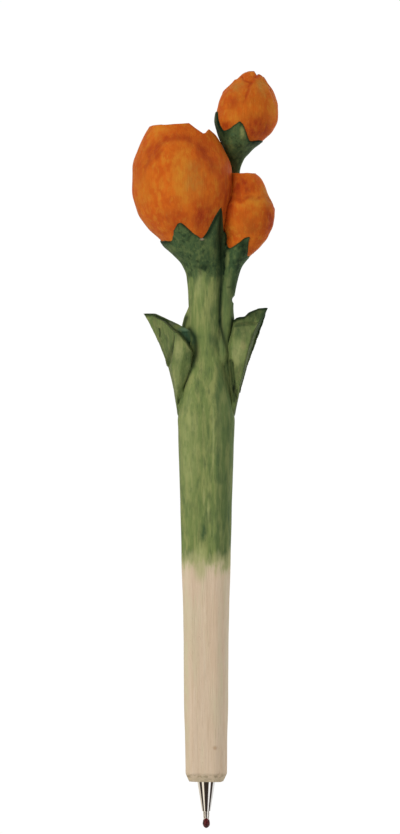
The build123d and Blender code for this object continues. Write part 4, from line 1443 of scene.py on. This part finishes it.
def carve_stems():
    """The barrel, the main stem and the side stem, carved as one piece with their sepals."""
    links = (web_stations, right_shoulder_stations, left_shoulder_stations)
    count = 40
    webs = [
        skin_over(ovals(smooth_rows(table, even_heights(table, count)), count)) for table in links
    ]
    forms = [barrel_form(), stem_form(main_stem), stem_form(side_stem), *webs]
    mesh = fused("stem", forms, facet=0.3, squeeze=(full_heights, short_heights))
    here = points_of(mesh)
    outside = np.hypot(here[:, 0], here[:, 1]) > plain_reach
    drawn_out = here * np.array([1, 1, 0.35])
    move_out(mesh, 0.1 * wander(drawn_out, size=6.0, seed=5) * outside)
    for place, reach, sunk in stem_chips:
        nick(mesh, place, reach, sunk)
    plain = outside * ramp(here[:, 2], 0.0, 3.0)
    barrel = ramp(here[:, 2], *strokes_change_heights)
    barrel_strokes = {"gap": 3.0, "length": 13.0, "width": 1.9, "depth": 0.11}
    stem_strokes = {"gap": 1.9, "length": 4.5, "width": 1.5, "depth": 0.14}
    knife_cuts(mesh, 41, **barrel_strokes, where=plain * barrel)
    knife_cuts(mesh, 43, **stem_strokes, where=plain * (1 - barrel))
    here = points_of(mesh)
    # Painted shade along the sepals' edges, in the groove between the stems and beside the leaves
    large_rim = sepal_rim(large_flower, here, width=0.6)
    side_rim = sepal_rim(side_flower, here, width=0.5)
    between_flowers = 5.0
    rims = np.where(here[:, 0] < between_flowers, large_rim, side_rim)
    seam = along_line(mesh, stem_seam, width=0.52) * ramp(here[:, 2], 104.0, 112.0)
    upper_seam = along_line(mesh, stem_seam[:5], width=1.1) * ramp(here[:, 2], 120.0, 128.0)
    shade_masks = [rims, seam, 0.75 * upper_seam]
    shade_masks += [0.9 * along_line(mesh, line, width) for line, width in leaf_shadows]
    keep(mesh, "dark_edges_and_shade", np.max(shade_masks, axis=0))
    mark_relief(mesh, reach=10, slight=0.03, strong=0.2)
    placed(mesh, "carved_stem_wood", "barrel", "carved_stem", stem_stain())


def carve_bud_stem():
    """The bud's stem, which bows behind the other flowers and opens into its own sepals."""
    mesh = fused("bud_stem", [stem_form(bud_stem)], facet=0.24)
    knife_cuts(mesh, 53, gap=1.7, length=4.0, width=1.3, depth=0.12)
    # Dark lines and painted shade along the sepals' edges against the bud
    keep(mesh, "dark_edges_and_shade", sepal_rim(bud_flower, points_of(mesh), width=0.5))
    mark_relief(mesh, reach=10, slight=0.03, strong=0.2)
    stain = leaf_stain(
        "bud_stem_wash", seed=61.0, depth=0.84, right_edge=11.0, patches=bud_stem_patches
    )
    placed(mesh, "bud_stem_wood", "barrel", "bud_stem", stain)


# Leaves

# A leaf's side is -1 on the left and 1 on the right, its bevel is how softly its hollow begins,
# and rim_line and the field after it are how strong the painted shade is along the hollow's rim
# and on the side that faces outwards
Leaf = namedtuple(
    "Leaf",
    "node side reach rise sections hollow bevel facets grooves pools rim_line edge_wash seed "
    "stain_seed depth right_edge patches",
)
leaves = (
    Leaf(
        node="left_leaf",
        side=-1,
        reach=15.5,
        rise=25.2,
        sections=left_leaf_shares,
        hollow=left_hollow_shares,
        bevel=(-0.1, 0.25),
        facets=left_leaf_facets,
        grooves=left_leaf_grooves,
        pools=left_leaf_shade_lines,
        rim_line=0.2,
        edge_wash=0.3,
        seed=3,
        stain_seed=3.0,
        depth=0.08,
        right_edge=-4.0,
        patches=left_leaf_patches,
    ),
    Leaf(
        node="right_leaf",
        side=1,
        reach=15.3,
        rise=26.8,
        sections=right_leaf_shares,
        hollow=right_hollow_shares,
        bevel=(-1.2, 1.6),
        facets=right_leaf_facets,
        grooves=right_leaf_grooves,
        pools=right_leaf_shade_lines,
        rim_line=0.0,
        edge_wash=0.7,
        seed=9,
        stain_seed=9.0,
        depth=0.1,
        right_edge=10.5,
        patches=right_leaf_patches,
    ),
)


def leaf_blank(design):
    """A solid leaf through its sections."""
    rows = [
        [
            (design.side * out * design.reach, front * leaf_front, leaf_foot + up * design.rise)
            for out, front in corners
        ]
        for up, corners in design.sections
    ]
    return skin_over(np.array(rows))


def carve_leaf(design):
    """A folded leaf: hollowed behind its rim, pared into facets and cut with the knife."""
    mesh = fused(design.node, [leaf_blank(design)], facet=0.2)
    hollow = [
        (design.side * out * design.reach, leaf_foot + up * design.rise)
        for out, up in design.hollow
    ]
    here = points_of(mesh)
    inside = depth_inside(hollow, here[:, 0], here[:, 2])
    floor = np.maximum(here[:, 1], -leaf_hollow_front)
    here[:, 1] += (floor - here[:, 1]) * ramp(inside, *design.bevel)
    set_points(mesh, here)
    set_points(mesh, eased(points_of(mesh), mesh, times=3))
    # Painted shade on pared facets and in grooves
    shade_masks = [pare(mesh, facet) for facet in design.facets]
    shade_masks += [score(mesh, line, width, sunk) for line, width, sunk in design.grooves]
    knife_cuts(mesh, design.seed, gap=2.2, length=4.5, width=1.5, depth=0.14)
    x, _, z = points_of(mesh).T
    out = normals_of(mesh)
    inside = depth_inside(hollow, x, z)
    # Painted shade in the hollow, along its rim, on faces turned up and outwards, and along the
    # tops
    aside = np.abs(x)
    # lit eases the painted shade in the hollow to half from about 5 to 8 mm out from the axis
    lit = 1 - 0.5 * ramp(aside, 4.0, 5.4) * ramp(aside, 9.4, 8.0)
    hollow_shade = 0.42 * ramp(inside, -0.25, 0.15) * lit
    rim_shade = design.rim_line * bell(inside - 0.1, 0.2)
    top_shade = 0.55 * ramp(out[:, 2], 0.45, 0.8)
    outwards = ramp(design.side * out[:, 0], 0.5, 0.8) * ramp(-out[:, 1], -0.1, 0.25)
    shade_masks += [hollow_shade, rim_shade, top_shade, design.edge_wash * outwards]
    for line, width, strength in design.pools:
        shade_masks.append(strength * bell(distance_to_line(line, x, z), width))
    keep(mesh, "dark_edges_and_shade", np.max(shade_masks, axis=0))
    mark_relief(mesh, reach=12, slight=0.03, strong=0.18)
    name = design.node + "_wash"
    stain = leaf_stain(name, design.stain_seed, design.depth, design.right_edge, design.patches)
    placed(mesh, design.node + "_wood", "barrel", design.node, stain)


# The refill and its seal


def make_wax_drop():
    """The drop of sealing wax on the point, hollow where the point and its ball sit."""
    outside = smooth_rows(drop_stations, even_heights(drop_stations, count=40))
    pocket = smooth_rows(drop_pocket, even_heights(drop_pocket, count=16))[::-1]
    profile = [(z, width / 2) for z, width in np.vstack([outside, pocket])]
    mesh = new_mesh("wax_drop", skin_over(ovals(rounds(profile), sides=48)))
    here = points_of(mesh)
    reach = np.hypot(here[:, 0], here[:, 1])
    aside = np.abs(here[:, 0]) / np.maximum(reach, 0.1)
    sag = 0.45 * aside**1.4
    here[:, 2] -= sag * ramp(here[:, 2], -10.4, -9.3)
    skin = ramp(here[:, 2], -9.6, -10.2) * (reach > 0.72)
    swell = 0.03 * wander(here, size=0.9, seed=91) * skin
    set_points(mesh, here + normals_of(mesh) * swell[:, None])
    wax, shine = soft_stuff(
        "dark_red_wax",
        (0.14, 0.004, 0.006),
        (0.03, 0.001, 0.003),
        roughness=0.34,
        size=0.5,
        seed=87.0,
    )
    shine.inputs["Coat Weight"].default_value = 0.08
    placed(mesh, "wax_drop", "tip_seal", "tip_seal", wax)


def dress_nodes():
    """Metals, plastic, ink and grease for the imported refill, and dowel for the glue pegs."""
    chrome = metal(
        "bright_plating", (0.80, 0.78, 0.75), (0.70, 0.68, 0.65), rough=(0.07, 0.14), seed=71.0
    )
    silver = metal(
        "turned_nickel_silver",
        (0.93, 0.90, 0.84),
        (0.84, 0.80, 0.73),
        rough=(0.26, 0.36),
        seed=73.0,
    )
    hard = metal(
        "polished_hard_metal", (0.45, 0.45, 0.47), (0.32, 0.32, 0.34), rough=(0.08, 0.16), seed=79.0
    )
    ink, _ = soft_stuff(
        "blue_black_ink",
        (0.02, 0.03, 0.12),
        (0.01, 0.015, 0.07),
        roughness=0.2,
        size=1.5,
        seed=83.0,
    )
    grease, _ = soft_stuff(
        "clear_grease", (0.80, 0.71, 0.45), (0.72, 0.6, 0.34), roughness=0.25, size=0.9, seed=85.0
    )
    tube, glaze = soft_stuff(
        "drawn_tube", (0.86, 0.88, 0.89), (0.78, 0.81, 0.83), roughness=0.16, size=3.0, seed=89.0
    )
    glaze.inputs["Transmission Weight"].default_value = 0.75
    glaze.inputs["IOR"].default_value = 1.45
    finishes = {
        "nose_cone": chrome,
        "ball_point": silver,
        "writing_ball": hard,
        "ink_tube": tube,
        "ink_column": ink,
        "grease_follower": grease,
    }
    pegs = ("large_bloom_peg", "side_bloom_peg", "bud_peg", "leaf_pegs")
    finishes.update(dict.fromkeys(pegs, dowel_wood()))
    for name, finish in finishes.items():
        for slot in frame["nodes"][name].material_slots:
            slot.material = finish


# Studio


def make_world():
    """White surroundings that light softly and give polished metal something to reflect."""
    world = bpy.data.worlds.new("white_studio")
    bpy.context.scene.world = world
    world.use_nodes = True
    recipe = Recipe(world.node_tree)
    background = world.node_tree.nodes["Background"]
    path = recipe.add("ShaderNodeLightPath").outputs
    right, back, _ = recipe.parts(recipe.add("ShaderNodeTexCoord").outputs["Generated"])
    sideways = recipe.math("ABSOLUTE", right)
    angle = recipe.math("ARCTAN2", sideways, recipe.times(back, -1.0))
    dark_front = recipe.span(angle, math.radians(31), math.radians(38), 0.045, 1.25)
    dark_side = recipe.span(angle, math.radians(58), math.radians(66), 1.0, 0.04)
    white_back = recipe.span(angle, math.radians(98), math.radians(110), 0.0, 0.9)
    panels = recipe.math("MAXIMUM", recipe.times(dark_front, dark_side), white_back)
    light = recipe.choose(path["Is Glossy Ray"], 0.43, panels)
    seen = recipe.choose(path["Is Camera Ray"], light, 1.02)
    recipe.feed(background.inputs["Strength"], seen)
    warm = recipe.times(recipe.span(right, -0.2, 0.2, 1.0, 0.0), path["Is Glossy Ray"])
    tint = recipe.mix(warm, (1.0, 1.0, 1.0), (0.93, 0.86, 0.74))
    dark = recipe.times(recipe.span(panels, 0.05, 0.5, 1.0, 0.0), path["Is Glossy Ray"])
    recipe.feed(background.inputs["Color"], recipe.mix(dark, tint, (1.0, 0.74, 0.6)))


def make_floor():
    """A pale floor, far enough below the point for the refill to be drawn out above it."""
    drawn_out = sum(j["range_m"][1] for j in frame["joints"] if j["type"] == "slide")
    gap = 0.02
    level = (cad_low[2] - drawn_out) / MM - gap
    half = 600.0
    corners = ((-half, -half), (half, -half), (half, half), (-half, half))
    points = np.array([(x, y, level) for x, y in corners])
    mesh = new_mesh("floor", Form(points, [(0, 1, 2, 3)]))
    mesh.transform(Matrix.Scale(MM, 4))
    material, recipe, shader = new_material("pale_floor")
    grain = recipe.streaks(30.0, 30.0, 3.0, 0.3, 0.7)
    paper = recipe.mix(grain, (0.9, 0.9, 0.9), (0.87, 0.87, 0.87))
    coat(recipe, shader, paper, roughness=0.9)
    glow = recipe.times(recipe.add("ShaderNodeLightPath").outputs["Is Camera Ray"], 0.9)
    recipe.feed(shader.inputs["Emission Color"], (1.0, 1.0, 1.0))
    recipe.feed(shader.inputs["Emission Strength"], glow)
    mesh.materials.append(material)
    floor = put_in("floor", mesh)
    floor.visible_glossy = False


def make_light(name, place, aim, size, power, colour):
    """A large soft lamp aimed at a place on the pen."""
    lamp = bpy.data.lights.new(name, "AREA")
    lamp.shape = "SQUARE"
    lamp.size = size
    lamp.energy = power
    lamp.color = colour
    holder = put_in(name, lamp)
    holder.location = Vector(place)
    towards = Vector(aim) - holder.location
    holder.rotation_euler = towards.to_track_quat("-Z", "Y").to_euler()
    holder.visible_glossy = False


def make_camera():
    """The photograph's view: level with the middle of the pen, straight at the flowers."""
    lens = 250.0
    sensor = 36.0
    picture_height = 208.5
    middle_x = -1.575
    middle_z = 91.0
    lens_data = bpy.data.cameras.new("camera")
    lens_data.lens = lens
    lens_data.sensor_width = sensor
    lens_data.clip_start = 0.01
    lens_data.clip_end = 50.0
    camera = put_in("camera", lens_data)
    camera.location = (middle_x * MM, -picture_height * MM * lens / sensor, middle_z * MM)
    camera.rotation_euler = (math.pi / 2, 0, 0)
    bpy.context.scene.camera = camera


make_camera()
bpy.context.scene.view_settings.view_transform = "Standard"
make_world()
make_floor()
make_light(
    "window_side",
    place=(-0.45, -0.55, 0.45),
    aim=(0, 0, 0.12),
    size=0.4,
    power=3.2,
    colour=(1.0, 0.98, 0.95),
)
make_light(
    "room_side",
    place=(0.6, 0.3, 0.4),
    aim=(0, 0, 0.1),
    size=0.5,
    power=2.0,
    colour=(0.98, 0.99, 1.0),
)

for bloom in blooms:
    carve_bloom(bloom)
carve_stems()
carve_bud_stem()
for design in leaves:
    carve_leaf(design)
make_wax_drop()
dress_nodes()
